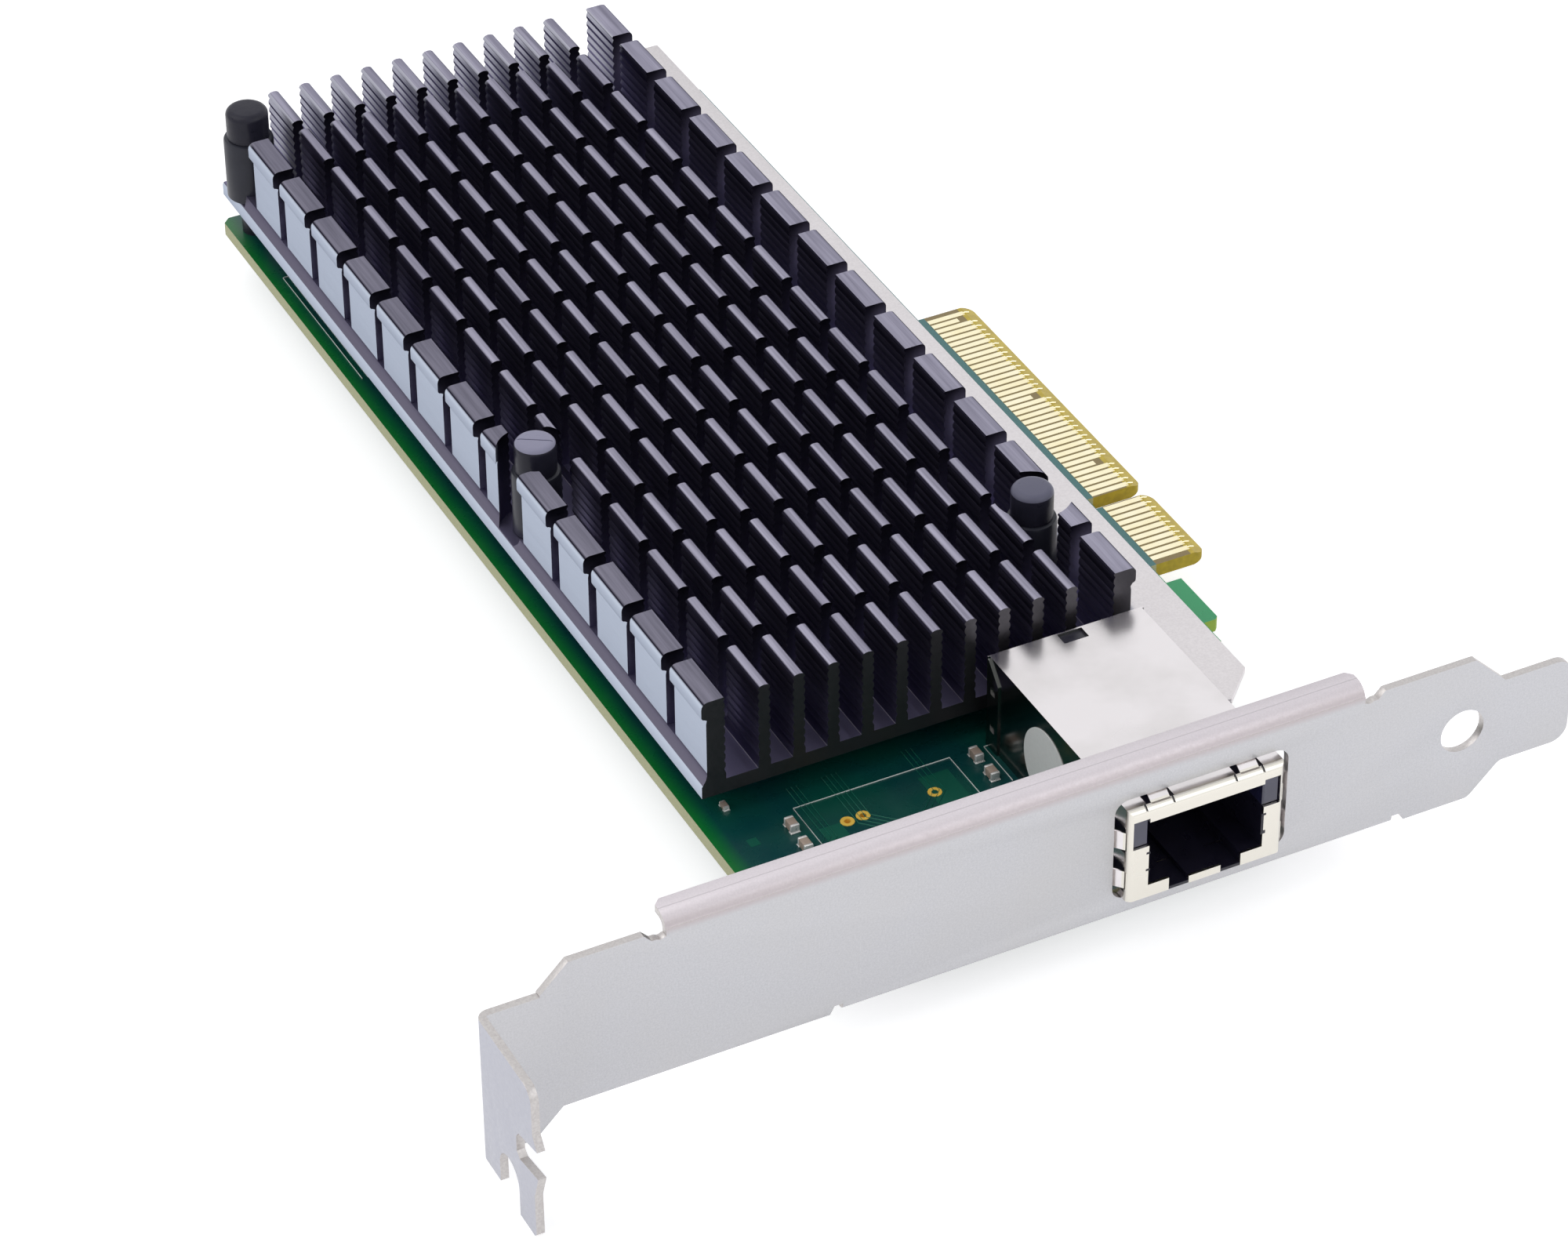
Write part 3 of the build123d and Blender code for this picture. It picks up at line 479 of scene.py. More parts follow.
for name, points, low_r, high_r in (("board_vias", via_points, via_r, via_top_r),
                                    ("board_under_vias", under_points, via_top_r, via_r)):
    vias = vias_recipe.grow(name, trace_finish, points, Radius=low_r * MM,
                            Top_Radius=high_r * MM, Height=via_height * MM)
    finished(vias, "board_laminate")


# ---- Copper areas ----
# Wider areas of copper under the solder mask, etched from the same foil as the traces,
# show as paler rectangles between them.
def built(name, form, outward=False):
    """An object from a finished bmesh, with its faces turned outward if asked."""
    if outward:
        bmesh.ops.recalc_face_normals(form, faces=form.faces)
    mesh = bpy.data.meshes.new(name)
    form.to_mesh(mesh)
    form.free()
    return linked(name, mesh)


def box_form(name, corners):
    """Boxes from pairs of opposite corners, in one object."""
    form = bmesh.new()
    for low, high in corners:
        low, high = Vector(low) * MM, Vector(high) * MM
        middle = Matrix.Translation((low + high) / 2)
        size = Matrix.Diagonal((*(high - low), 1.0))
        bmesh.ops.create_cube(form, size=1.0, matrix=middle @ size)
    return built(name, form)


pour_rise = 0.015
pour_rectangles = (((22.9, 20.6), (26.3, 25.4)), ((10.4, 19.6), (12.8, 22.8)),
                   ((14.4, 6.0), (19.6, 10.4)), ((3.2, 23.4), (4.3, 24.6)))
pour_finish = Finish("mask_over_pour", (0.004, 0.105, 0.068), roughness=0.3)
pour_finish.two_tone((200, 3), (0.003, 0.09, 0.058), (0.005, 0.12, 0.078))
pour_finish.relief((1500, 3), 0.01)
pours = box_form("copper_pours", [((*low, 0.0), (*high, pour_rise))
                                  for low, high in pour_rectangles])
pours.data.materials.append(pour_finish.material)
finished(pours, "board_laminate")


# ---- Printed outlines ----
# White ink, screen-printed and cured on the solder mask, outlines where parts go. The
# lines are a few hundredths of a millimetre thick and slightly chalky.
ink_width = 0.22
ink_rise = 0.04
outline_paths = (
    ((9.6, 12), (9.6, 26.85), (27.3, 26.85), (27.35, 12)),
    ((31.2, 20.7), (31.2, 26.8), (32, 26.8), (32, 20.7)),
    ((1.5, 116), (1.5, 138.6), (2.2, 138.7), (2.2, 116)),
    ((8.6, 18.2), (6.8, 18.2)),
    ((17, 9), (22.5, 9), (22.5, 4.5)),
)
ink_finish = Finish("printed_white", (0.80, 0.84, 0.82), roughness=0.6)
ink_finish.two_tone((2500, 3), (0.66, 0.72, 0.69), (0.88, 0.91, 0.89))
ink_finish.relief((4000, 2), 0.01)
ink_paths = [[(x, y, ink_rise / 2) for x, y in path] for path in outline_paths]
printed = flat_lines("printed_outlines", ink_paths, ink_finish, ink_width, ink_rise)
finished(printed, "board_laminate")


# ---- Plated holes and card-edge contacts ----
# Hard gold over nickel. Each contact is a pad with a narrow plating stub, cut off at the
# tip of the card, except for the short pads.
gold_finish = Finish("hard_gold", (0.95, 0.85, 0.52), metallic=1.0, roughness=0.28)
gold_finish.colour(gold_finish.blend(gold_finish.spread(gold_finish.grain(350, 4), 0.3, 0.7),
                                     (0.98, 0.89, 0.59), (1.0, 0.94, 0.70)))
gold_finish.uneven((1200, 4, (1, 8, 1)), 0.22, 0.36)
gold_finish.relief((2500, 3, (1, 6, 1)), 0.002, 0.4)
dress(gold_finish, "edge_contacts_upper", "edge_contacts_lower")
ring_finish = Finish("gold_rings", (1.0, 0.75, 0.13), metallic=0.1, roughness=0.5)
ring_finish.two_tone((1500, 3), (1.0, 0.58, 0.07), (1.0, 0.70, 0.13))
ring_finish.relief()
dress(ring_finish, "plated_holes")

first_contact_y = 46.72
contact_pitch = 1.0
short_group = 11
key_gap = 3.0
contact_count = 49
short_pads = (17, 31, 48)
stub_from_x = 66.6
stub_bend_x = 66.9
stub_end_x = 67.35
stub_drop = 0.155
stub_width = 0.30
stub_rise = 0.04
stub_paths = []
for number in range(1, contact_count + 1):
    if number in short_pads:
        continue
    y = first_contact_y + (number - 1) * contact_pitch
    if number > short_group:
        y += key_gap - contact_pitch
    for face_z, way in ((0.0, 1), (board_bottom, -1)):
        z = face_z + way * stub_rise / 2
        stub_paths.append([(stub_from_x, y, z), (stub_bend_x, y, z),
                           (stub_end_x, y, z - way * stub_drop)])
stubs = flat_lines("contact_stubs", stub_paths, gold_finish, stub_width, stub_rise)
finished(stubs, "contact_gold")


# ---- Chip capacitors ----
# Small bricks of brown ceramic, fired in layers, with dipped and tinned ends. Each stands
# on two tinned pads, which solder holds to the board.
ceramic_finish = Finish("brown_ceramic", (0.42, 0.33, 0.27), roughness=0.4)
ceramic_finish.two_tone((1500, 4), (0.36, 0.275, 0.225), (0.49, 0.39, 0.32))
ceramic_finish.relief((5000, 3), 0.01)
tin_finish = Finish("tin_and_solder", (0.85, 0.84, 0.82), metallic=0.5, roughness=0.3)
tin_finish.uneven((1800, 4), 0.2, 0.45)
tin_finish.two_tone((900, 3), (0.76, 0.75, 0.73), (0.92, 0.91, 0.89))
tin_finish.relief((3000, 3), 0.015, 0.6)
capacitor_places = ((29.675, 25.6), (29.675, 22.3), (8.1, 24.2), (7.9, 20.8), (17.8, 12.0),
                    (22.6, 15.5))
small_capacitor_places = ((3.6, 30.2), (11.2, 15.6), (25.6, 11.4))
bricks = Recipe("bricks_on_points")
brick_box = bricks.add("MeshCube", {"Size": bricks.size("Brick", "Vector")})
bricks.end(bricks.add("InstanceOnPoints", {0: bricks.given.outputs[0], "Instance": brick_box}))


def bevelled(piece, width_mm, segments=2, angle=40):
    """Rounds the sharp edges and makes the result the piece's own mesh."""
    modifier = piece.modifiers.new("edges", "BEVEL")
    modifier.width = width_mm * MM
    modifier.segments = segments
    modifier.limit_method = "ANGLE"
    modifier.angle_limit = math.radians(angle)
    modifier.harden_normals = False
    mesh = with_modifiers(piece)
    piece.modifiers.clear()
    piece.data = mesh
    return piece


def join(name, pieces):
    """One mesh from several, with their materials."""
    form = bmesh.new()
    finishes = []
    for piece in pieces:
        first = len(form.faces)
        form.from_mesh(piece.data)
        form.faces.ensure_lookup_table()
        own = list(piece.data.materials)
        for face in form.faces[first:]:
            stuff = own[face.material_index] if own else None
            if stuff not in finishes:
                finishes.append(stuff)
            face.material_index = finishes.index(stuff)
        bpy.data.objects.remove(piece)
    joined = built(name, form)
    for stuff in finishes:
        joined.data.materials.append(stuff)
    return joined


def smooth(piece, angle=35):
    """Soft shading, with edges sharper than the angle kept crisp."""
    piece.data.shade_smooth()
    piece.data.set_sharp_from_angle(angle=math.radians(angle))
    return piece


capacitor_size = (1.0, 1.7, 1.0)
small_capacitor_size = (0.65, 1.2, 0.55)
end_share = 0.22
pad_thick = 0.1
capacitor_parts = []
for label, (wide, long, high), places in (
        ("capacitors", capacitor_size, capacitor_places),
        ("small_capacitors", small_capacitor_size, small_capacitor_places)):
    end = long * end_share
    body = [(x, y, high / 2) for x, y in places]
    ends = [(x, y + side * (long - end) / 2, high / 2) for x, y in places for side in (-1, 1)]
    feet = [(x, y, pad_thick / 2) for x, y, z in ends]
    for suffix, points, size, finish, edge in (
            ("_bodies", body, (wide * 0.94, long * 0.98, high * 0.94), ceramic_finish, 0.08),
            ("_ends", ends, (wide, end, high), tin_finish, 0.12),
            ("_pads", feet, (wide * 1.1, end * 1.5, pad_thick), tin_finish, 0.03)):
        part = bricks.grow(label + suffix, finish, points, Brick=[v * MM for v in size])
        capacitor_parts.append(bevelled(part, edge))
capacitors = smooth(join("capacitors_on_board", capacitor_parts))
finished(capacitors, "capacitor_ceramic", "chip_capacitors")


# ---- Controller package ----
# A ball-grid package under the heatsink: a green laminate base, a nickel-plated copper
# lid and a soft grey pad that fills the gap.
package_finish = Finish("package_laminate", (0.02, 0.10, 0.04), roughness=0.5)
package_finish.two_tone((600, 3), (0.014, 0.08, 0.03), (0.03, 0.13, 0.05))
package_finish.relief()
dress(package_finish, "controller_substrate")
lid_finish = Finish("nickel_lid", (0.52, 0.52, 0.51), metallic=1.0, roughness=0.35)
lid_finish.uneven((500, 4, (1, 10, 1)), 0.25, 0.45)
lid_finish.relief((2500, 3, (1, 10, 1)), 0.005)
dress(lid_finish, "controller_lid")
pad_finish = Finish("soft_pad", (0.17, 0.17, 0.21), roughness=0.85)
pad_finish.relief((1800, 4), 0.03, 0.6)
pad_finish.two_tone((400, 3), (0.14, 0.14, 0.17), (0.2, 0.2, 0.24))
dress(pad_finish, "thermal_pad")


# ---- Heatsink ----
# One aluminium extrusion with ribbed fins, cross-cut into rows and anodised black. Three
# pins press it onto the controller. The fin tops are finely brushed, and the outermost
# fins carry a hooked cap.
sink_front_y = 28.7
sink_back_y = 153.2
sink_rows = 14
sink_row_gap = 1.93
sink_row_pitch = (sink_back_y - sink_front_y + sink_row_gap) / sink_rows
sink_row_length = sink_row_pitch - sink_row_gap
sink_bottom = 3.3
sink_floor = 5.0
sink_cut = 6.2
sink_top = 15.2
sink_left = 0.45
sink_right = 49.0
wide_fin = 2.1
side_inset = 0.6
thin_fins = 10
thin_first_x = 7.43
thin_pitch = 3.85
thin_half = 0.70
rib_pitch = 1.08
rib_depth = 0.19
rib_clear = 0.03
rib_crest = (0.32, 0.68)
groove_drop = 0.5
cap_reach = 0.5
lip_r = 0.35
# The radius of each side's cap and how far below its top the lip's centre lies.
cap_forms = {-1: (0.75, 1.75), 1: (0.6, 1.55)}
crown = 0.42
pocket_r = 4.15
far_pin = (2.7, 149.65)
middle_pin = (4.35, 75.45)
front_pin = (46.2, 44.4)


def ribs(face_x, way, low, high):
    """One ribbed side of a fin from low to high; way is the side that it faces."""
    points = []
    count = max(1, round((high - low) / rib_pitch))
    pitch = (high - low) / count
    for k in range(count):
        z = low + k * pitch
        points.append((face_x - way * rib_depth, z))
        points += [(face_x - way * rib_clear, z + pitch * share) for share in rib_crest]
    return points + [(face_x - way * rib_depth, high)]


def thin_fin_outline():
    """A thin fin's section above the cross cut, from its lower left corner round."""
    left, right = [ribs(way * thin_half, way, sink_cut, sink_top - crown - 0.35)
                   for way in (-1, 1)]
    arc = [(-thin_half * math.cos(math.pi * k / 6),
            sink_top - crown + crown * math.sin(math.pi * k / 6)) for k in range(7)]
    return left + arc + right[::-1]


def arc_points(x, z, r, first, last, steps=4):
    """Points of an arc round (x, z), from the first angle to the last, in degrees."""
    turns = [math.radians(first + (last - first) * k / steps) for k in range(steps + 1)]
    return [(x + r * math.cos(a), z + r * math.sin(a)) for a in turns]


def wide_fin_outline(outer_x, way):
    """A wide fin with a hooked cap outside and ribs inside; way is the outer side."""
    inner_x = outer_x - way * wide_fin
    inner = ribs(inner_x, -way, sink_cut, sink_top - 0.5)
    cap_x = outer_x + way * cap_reach
    cap_r, lip_drop = cap_forms[way]
    side, under = 90 - way * 90, 90 - way * 180
    shell = arc_points(cap_x - way * cap_r, sink_top - cap_r, cap_r, 90, side)
    shell += arc_points(cap_x - way * lip_r, sink_top - lip_drop, lip_r, side, under, 3)
    shell += [(outer_x - way * 0.08, sink_top - 2.25), (outer_x, sink_top - 2.7)]
    return inner + [(inner_x, sink_top - 0.15), (inner_x + way * 0.15, sink_top)] + shell + [
        (outer_x, sink_cut)]


def base_outline():
    """The base: lip, band, a low ridge under each fin, and the flat underside."""
    left = sink_left + side_inset
    root, ridge = sink_cut - groove_drop, sink_cut + 0.02
    points = [(sink_left, sink_bottom + 0.05), (sink_left, sink_bottom + 1.45),
              (sink_left + 0.1, sink_bottom + 1.58), (left - 0.14, sink_bottom + 2.2),
              (left, sink_bottom + 2.75), (left, ridge), (left + wide_fin - rib_depth, ridge),
              (left + wide_fin, root), (left + wide_fin, sink_floor)]
    for k in range(thin_fins):
        x = thin_first_x + k * thin_pitch
        low, high = x - thin_half, x + thin_half
        points += [(low, sink_floor), (low, root), (low + rib_depth, ridge),
                   (high - rib_depth, ridge), (high, root), (high, sink_floor)]
    right = sink_right - wide_fin
    return points + [(right, sink_floor), (right, root), (right + rib_depth, ridge),
                     (sink_right, ridge), (sink_right, sink_bottom + 0.05),
                     (sink_right - 0.05, sink_bottom), (sink_left + 0.05, sink_bottom)]


fin_field = Recipe("extruded_sections_in_rows")
section = fin_field.given.outputs[0]
fin_long = fin_field.size("Length")


def along_axis(axis, length):
    """A step of this length along one axis."""
    step = fin_field.tree.nodes.new("ShaderNodeCombineXYZ")
    fin_field.tree.links.new(length, step.inputs[axis])
    return step.outputs[0]


sides = fin_field.add("ExtrudeMesh", {"Mesh": section, "Offset": along_axis("Y", fin_long),
                                      "Offset Scale": 1.0, "Individual": False}, mode="FACES")
near_end = fin_field.add("FlipFaces", {0: section})
fin_join = fin_field.tree.nodes.new("GeometryNodeJoinGeometry")
fin_field.tree.links.new(sides, fin_join.inputs[0])
fin_field.tree.links.new(near_end, fin_join.inputs[0])
weld_distance = 0.000001
solid_fin = fin_field.add("MergeByDistance", {0: fin_join.outputs[0],
                                              "Distance": weld_distance})


def in_line(axis, count_name, pitch_name, geometry):
    """Copies the geometry along one axis."""
    step = along_axis(axis, fin_field.size(pitch_name))
    line = fin_field.add("MeshLine", {"Count": fin_field.size(count_name, "Int"),
                                      "Offset": step}, mode="OFFSET")
    return fin_field.add("InstanceOnPoints", {0: line, "Instance": geometry})


columns = in_line("X", "Columns", "Column Pitch", solid_fin)
one_row = fin_field.add("RealizeInstances", {0: columns})
fin_field.end(in_line("Y", "Rows", "Row Pitch", one_row))


def fins(name, outline, x, length, columns=1, rows=1):
    """Lengths of one section, set out in columns and rows from the heatsink's front."""
    points = [(x + px, sink_front_y, pz) for px, pz in outline]
    piece = fin_field.grow(name, anodised, points, faces=[tuple(range(len(points)))],
                           Length=length * MM, Columns=columns, Column_Pitch=thin_pitch * MM,
                           Rows=rows, Row_Pitch=sink_row_pitch * MM)
    form = bmesh.new()
    form.from_mesh(piece.data)
    bmesh.ops.recalc_face_normals(form, faces=form.faces)
    form.to_mesh(piece.data)
    form.free()
    return piece


def round_cutter(places, r, low, high, sides=40):
    """Upright posts that cut round pockets."""
    form = bmesh.new()
    for x, y in places:
        bmesh.ops.create_cone(form, cap_ends=True, segments=sides, radius1=r * MM,
                              radius2=r * MM, depth=(high - low) * MM,
                              matrix=Matrix.Translation(Vector((x, y, (low + high) / 2)) * MM))
    return built("cutter", form)


def carved(piece, cutter):
    """Cuts the cutter's shape out of a piece of one material."""
    modifier = piece.modifiers.new("carve", "BOOLEAN")
    modifier.object = cutter
    modifier.operation = "DIFFERENCE"
    modifier.solver = "EXACT"
    mesh = with_modifiers(piece)
    stuff = next((own for own in piece.data.materials if own), None)
    piece.modifiers.clear()
    piece.data = mesh
    mesh.materials.clear()
    if stuff:
        mesh.materials.append(stuff)
    mesh.polygons.foreach_set("material_index", [0] * len(mesh.polygons))
    bpy.data.objects.remove(cutter)
    return piece


fin_dark_tone = (0.011, 0.010, 0.017)
# Painted light: fin sides are lighter lower down, towards the floor between the fins.
fin_deep_painted_light = (0.20, 0.185, 0.29)
painted_light_until_z = 9.0
fin_end_tone = (0.085, 0.082, 0.090)
# Painted reflection: the lip band of the outermost fins is painted mid grey.
fin_band_reflection_tone = (0.15, 0.14, 0.185)
# Painted glints: upper facets of the ribs in the last row are painted light, where light glances
# off them.
fin_rib_glint_tone = (0.40, 0.40, 0.46)
# Painted reflection: the outer faces of the outermost fins are painted light grey-blue.
fin_outer_reflection_tone = (0.50, 0.55, 0.64)
rib_glints_from_y = 145.0
# The fin top tones are partly the brushed finish and partly painted highlight on the upward-facing
# crowns.
fin_top_low = (0.25, 0.24, 0.305)
fin_top_high = (0.41, 0.395, 0.49)
wide_top_low = (0.15, 0.145, 0.185)
wide_top_high = (0.24, 0.23, 0.29)
outer_until_x = 1.4
outer_from_x = 48.8
crowns_from_z = 12.0
fin_sheen = (0.35, 0.35, 0.40)
anodised = f = Finish("black_anodised", fin_dark_tone, metallic=1.0, roughness=0.4)
f.feed(f.shader.inputs["Specular Tint"], fin_sheen)
brush_lines = f.grain(2600, 4, (1, 0.03, 1))
height = f.axis("Z")
upward = f.facing("Z")
across = f.size_of(f.facing("X"))
toward_end = f.times(f.below(f.facing("Y"), -0.9), f.before("Y", sink_front_y + 1))
# Painted reflection: the black outer faces of the two wide fins and their lip band are painted
# light grey-blue and mid grey, for the bright surroundings that they mirror.
outside = f.math("MAXIMUM", f.before("X", outer_until_x), f.past("X", outer_from_x))
outside = f.times(outside, f.spread(across, 0.72, 0.85))
off_band = f.math("MAXIMUM", f.past("Z", sink_cut + 0.2), f.before("Z", sink_bottom + 1.6))
# Painted glints: in the last row, upward-tilted rib facets on the fin sides are painted light.
open_end = f.spread(f.axis("Y"), (rib_glints_from_y - 1.5) * MM, rib_glints_from_y * MM)
rib_glint_share = f.times(f.times(f.above(upward, 0.1), f.above(across, 0.5)), open_end)
# Painted light: the sides grow lighter from the fin tops down towards the floor between the fins.
tone = f.blend(f.spread(height, painted_light_until_z * MM, sink_top * MM), fin_deep_painted_light, fin_dark_tone)
tone = f.blend(rib_glint_share, tone, fin_rib_glint_tone)
tone = f.blend(toward_end, tone, fin_end_tone)
tone = f.blend(outside, tone, fin_band_reflection_tone)
tone = f.blend(f.times(outside, off_band), tone, fin_outer_reflection_tone)
lines_share = f.spread(brush_lines, 0.3, 0.7)
on_wide = f.before("X", sink_left + side_inset + wide_fin + 0.1)
top_tone = f.blend(on_wide, f.blend(lines_share, fin_top_low, fin_top_high),
                   f.blend(lines_share, wide_top_low, wide_top_high))
# Painted highlight, with the brushing's own lines: only the upward-facing part of each crown takes
# the lighter top tones.
lit_top_share = f.times(f.spread(upward, 0.78, 0.93), f.past("Z", crowns_from_z))
f.colour(f.blend(lit_top_share, tone, top_tone))
f.rough(f.spread(brush_lines, 0.2, 0.8, 0.36, 0.52))
f.relief((1600, 4, (1, 0.05, 1)), 0.012, 0.6)

thin_field = fins("thin_fins", thin_fin_outline(), thin_first_x, sink_row_length, thin_fins,
                  sink_rows)
left_x = sink_left + side_inset
left_wide = fins("left_fins", wide_fin_outline(left_x, -1), 0.0, sink_row_length,
                 rows=sink_rows - 1)
right_wide = fins("right_fins", wide_fin_outline(sink_right, 1), 0.0, sink_row_length,
                  rows=sink_rows)
base = fins("sink_base", base_outline(), 0.0, sink_back_y - sink_front_y)
over_fins = 17.0
over_base = 7.0
pin_bore_r = 1.45
corner_place = (0.0, 151.0)
corner_clear = 4.6
fin_parts = [carved(part, round_cutter((middle_pin, front_pin), pocket_r, sink_floor, over_fins))
             for part in (thin_field, left_wide, right_wide)]
for cutter in (round_cutter((middle_pin, front_pin), pocket_r, sink_floor, over_base),
               round_cutter((far_pin, middle_pin, front_pin), pin_bore_r, 2.0, 5.5, 24),
               round_cutter((corner_place,), corner_clear, sink_floor, over_base, 4)):
    base = carved(base, cutter)
sink = smooth(join("finned_heatsink", fin_parts + [base]), 40)
finished(sink, "heatsink_black", "heatsink")

# Painted highlights: thin bright lines along the root of each fin's left side, where light catches
# the corner at the heatsink floor.
root_highlight_finish = Finish("painted_root_highlight", (0.5, 0.48, 0.52), metallic=1.0, roughness=0.35)
root_highlight_finish.uneven((900, 3), 0.3, 0.55)
root_highlight_finish.two_tone((250, 4), (0.35, 0.34, 0.38), (0.75, 0.73, 0.78))
root_line = (0.07, 0.05)
roots_x = [thin_first_x + k * thin_pitch - thin_half for k in range(thin_fins)]
roots_x.append(sink_right - wide_fin)
corner_paths = [[(x - 0.04, y, sink_floor + 0.02)
                 for y in (sink_front_y + 0.02, sink_back_y - 0.02)] for x in roots_x]
corner_lines = flat_lines("fin_root_lines", corner_paths, root_highlight_finish, *root_line)
finished(corner_lines, "heatsink_black")


# ---- Push pins ----
# Moulded nylon pins, pressed through the heatsink and board, each with a smooth round head.
# Two hooked prongs hold each pin under the board. The middle head has a fine slot.
def turned(name, outline, sides):
    """A shape turned round the upright axis from (radius, height) points."""
    form = bmesh.new()
    rows = []
    turns = [2 * math.pi * k / sides for k in range(sides)]
    for radius, z in outline:
        rows.append([form.verts.new(Vector((radius * math.cos(a), radius * math.sin(a), z)) * MM)
                     for a in (turns if radius > 0 else turns[:1])])
    if outline[0][0] > 0:
        rows.append(rows[0])
    for low, high in zip(rows, rows[1:]):
        for k in range(sides):
            j = (k + 1) % sides
            ring = [low[k % len(low)], low[j % len(low)], high[j % len(high)],
                    high[k % len(high)]]
            form.faces.new(list(dict.fromkeys(ring)))
    return built(name, form, outward=True)


set_out = Recipe("one_shape_at_several_places")
template_info = set_out.tree.nodes.new("GeometryNodeObjectInfo")
set_out.tree.links.new(set_out.size("Shape", "Object"), template_info.inputs["Object"])
set_out.end(set_out.add("InstanceOnPoints", {
    0: set_out.given.outputs[0], "Instance": template_info.outputs["Geometry"]}))


def at_places(name, shape, places, finish):
    """Copies a shape made at the origin to several places and removes the first."""
    piece = set_out.grow(name, finish, places, Shape=shape)
    bpy.data.objects.remove(shape)
    return piece


head_bottom = 12.6
head_top = 16.3
head_r = 2.25
head_rim = 0.75
slot_turn = -32
far_pin_growth = 1.08
shaft_r = 1.35
prong_end = -3.47
pin_outline = [(0, board_bottom), (shaft_r, board_bottom), (shaft_r, head_bottom)]
pin_outline += [(head_r - 0.1, head_bottom), (head_r, head_bottom + 0.1),
                (head_r, head_top - head_rim)]
pin_outline += arc_points(head_r - head_rim, head_top - head_rim, head_rim, 15, 90, 5)
pin_outline += [(0, head_top)]
slot_cut = box_form("slot", [((-1.9, -0.07, head_top - 0.14), (1.9, 0.07, head_top + 1))])
slot_cut.data.transform(Matrix.Rotation(math.radians(slot_turn), 4, "Z"))
slotted_pin = carved(turned("slotted_pin", pin_outline, 48), slot_cut)
plain_pin = turned("plain_pin", pin_outline, 48)
prong_half = 0.9
prong_edge = 0.12
prong_outline = ((0.25, board_bottom), (1.9, board_bottom), (1.75, board_bottom - 0.4),
                 (0.9, prong_end + 0.15), (0.6, prong_end), (0.25, prong_end))
prong_parts = []
for way in (-1, 1):
    form = bmesh.new()
    near, far = [[form.verts.new(Vector((way * x, y, z)) * MM) for x, z in prong_outline]
                 for y in (-prong_half, prong_half)]
    form.faces.new(near)
    form.faces.new(far[::-1])
    for k in range(len(near)):
        j = (k + 1) % len(near)
        form.faces.new([near[k], far[k], far[j], near[j]])
    prong_parts.append(bevelled(built("prong", form, outward=True), prong_edge))
prongs = join("prongs", prong_parts)

nylon = f = Finish("black_nylon", (0.014, 0.013, 0.019), roughness=0.38, specular=0.2)
nylon_tone = f.blend(f.grain(700, 4), (0.013, 0.013, 0.022), (0.026, 0.025, 0.040))
# The tops of the middle and front heads are lighter than the rest of the nylon; on the front head
# this is painted light.
for place, from_z, head_tone in ((middle_pin, 15.9, (0.29, 0.285, 0.39)),
                                 (front_pin, 15.7, (0.13, 0.13, 0.185))):
    off_centre = f.size_of(f.math("SUBTRACT", f.axis("Y"), place[1] * MM))
    lighter_head_top = f.times(f.past("Z", from_z), f.below(off_centre, 4.0 * MM))
    nylon_tone = f.blend(lighter_head_top, nylon_tone, head_tone)
f.colour(nylon_tone)
f.uneven((1200, 3), 0.27, 0.42)
f.relief((2600, 4), 0.02, 0.6)
pin_places = [(*place, 0.0) for place in (far_pin, middle_pin, front_pin)]
far_shape = linked("far_shape", plain_pin.data.copy())
far_shape.data.transform(Matrix.Diagonal((far_pin_growth, far_pin_growth, 1.0, 1.0)))
pins = join("push_pins", [
    at_places("far_pin", far_shape, pin_places[:1], nylon),
    at_places("middle_pin", slotted_pin, pin_places[1:2], nylon),
    at_places("front_pin", plain_pin, pin_places[2:], nylon),
    at_places("pin_prongs", prongs, pin_places, nylon)])
smooth(pins, 40)
finished(pins, "pin_plastic", "push_pin_far", "push_pin_middle", "push_pin_front")


# ---- Pin sleeves ----
# A plain black moulded sleeve stands on the heatsink round each pin and carries its head.
# The far one is slightly larger, as its pin is.
sleeve_r = 2.65
sleeve_bore = 1.4
sleeve_outline = [(sleeve_bore, sink_floor), (sleeve_r - 0.1, sink_floor),
                  (sleeve_r, sink_floor + 0.1), (sleeve_r, head_bottom - 0.3),
                  (sleeve_r - 0.09, head_bottom - 0.09), (sleeve_r - 0.3, head_bottom),
                  (sleeve_bore, head_bottom)]
sleeve_finish = Finish("moulded_sleeve", (0.020, 0.020, 0.028), roughness=0.36, specular=0.28)
sleeve_finish.two_tone((500, 3), (0.016, 0.017, 0.026), (0.032, 0.033, 0.048))
sleeve_finish.relief()
far_sleeve = turned("far_sleeve", [(r * far_pin_growth, z) for r, z in sleeve_outline], 48)
sleeves = join("pin_sleeves", [
    at_places("far_sleeve", far_sleeve, pin_places[:1], sleeve_finish),
    at_places("other_sleeves", turned("sleeve_shape", sleeve_outline, 48), pin_places[1:],
              sleeve_finish)])
smooth(sleeves, 40)
finished(sleeves, "sleeve_black", "pin_sleeve_far", "pin_sleeve_middle", "pin_sleeve_front")


# ---- Edge rail ----
# An angle of thin aluminium that stands on the board beside the heatsink, with a flat
# flange over the card edge. It is finely brushed along its length, and tabs through the
# board hold it.
def merged_copy(node, name):
    """A copy of a CAD node with its loose triangles joined into flat faces."""
    form = bmesh.new()
    form.from_mesh(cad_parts[node].data)
    bmesh.ops.remove_doubles(form, verts=form.verts, dist=0.002 * MM)
    bmesh.ops.dissolve_limit(form, angle_limit=math.radians(1.0), verts=form.verts,
                             edges=form.edges)
    piece = built(name, form)
    piece.data.materials.clear()
    return piece


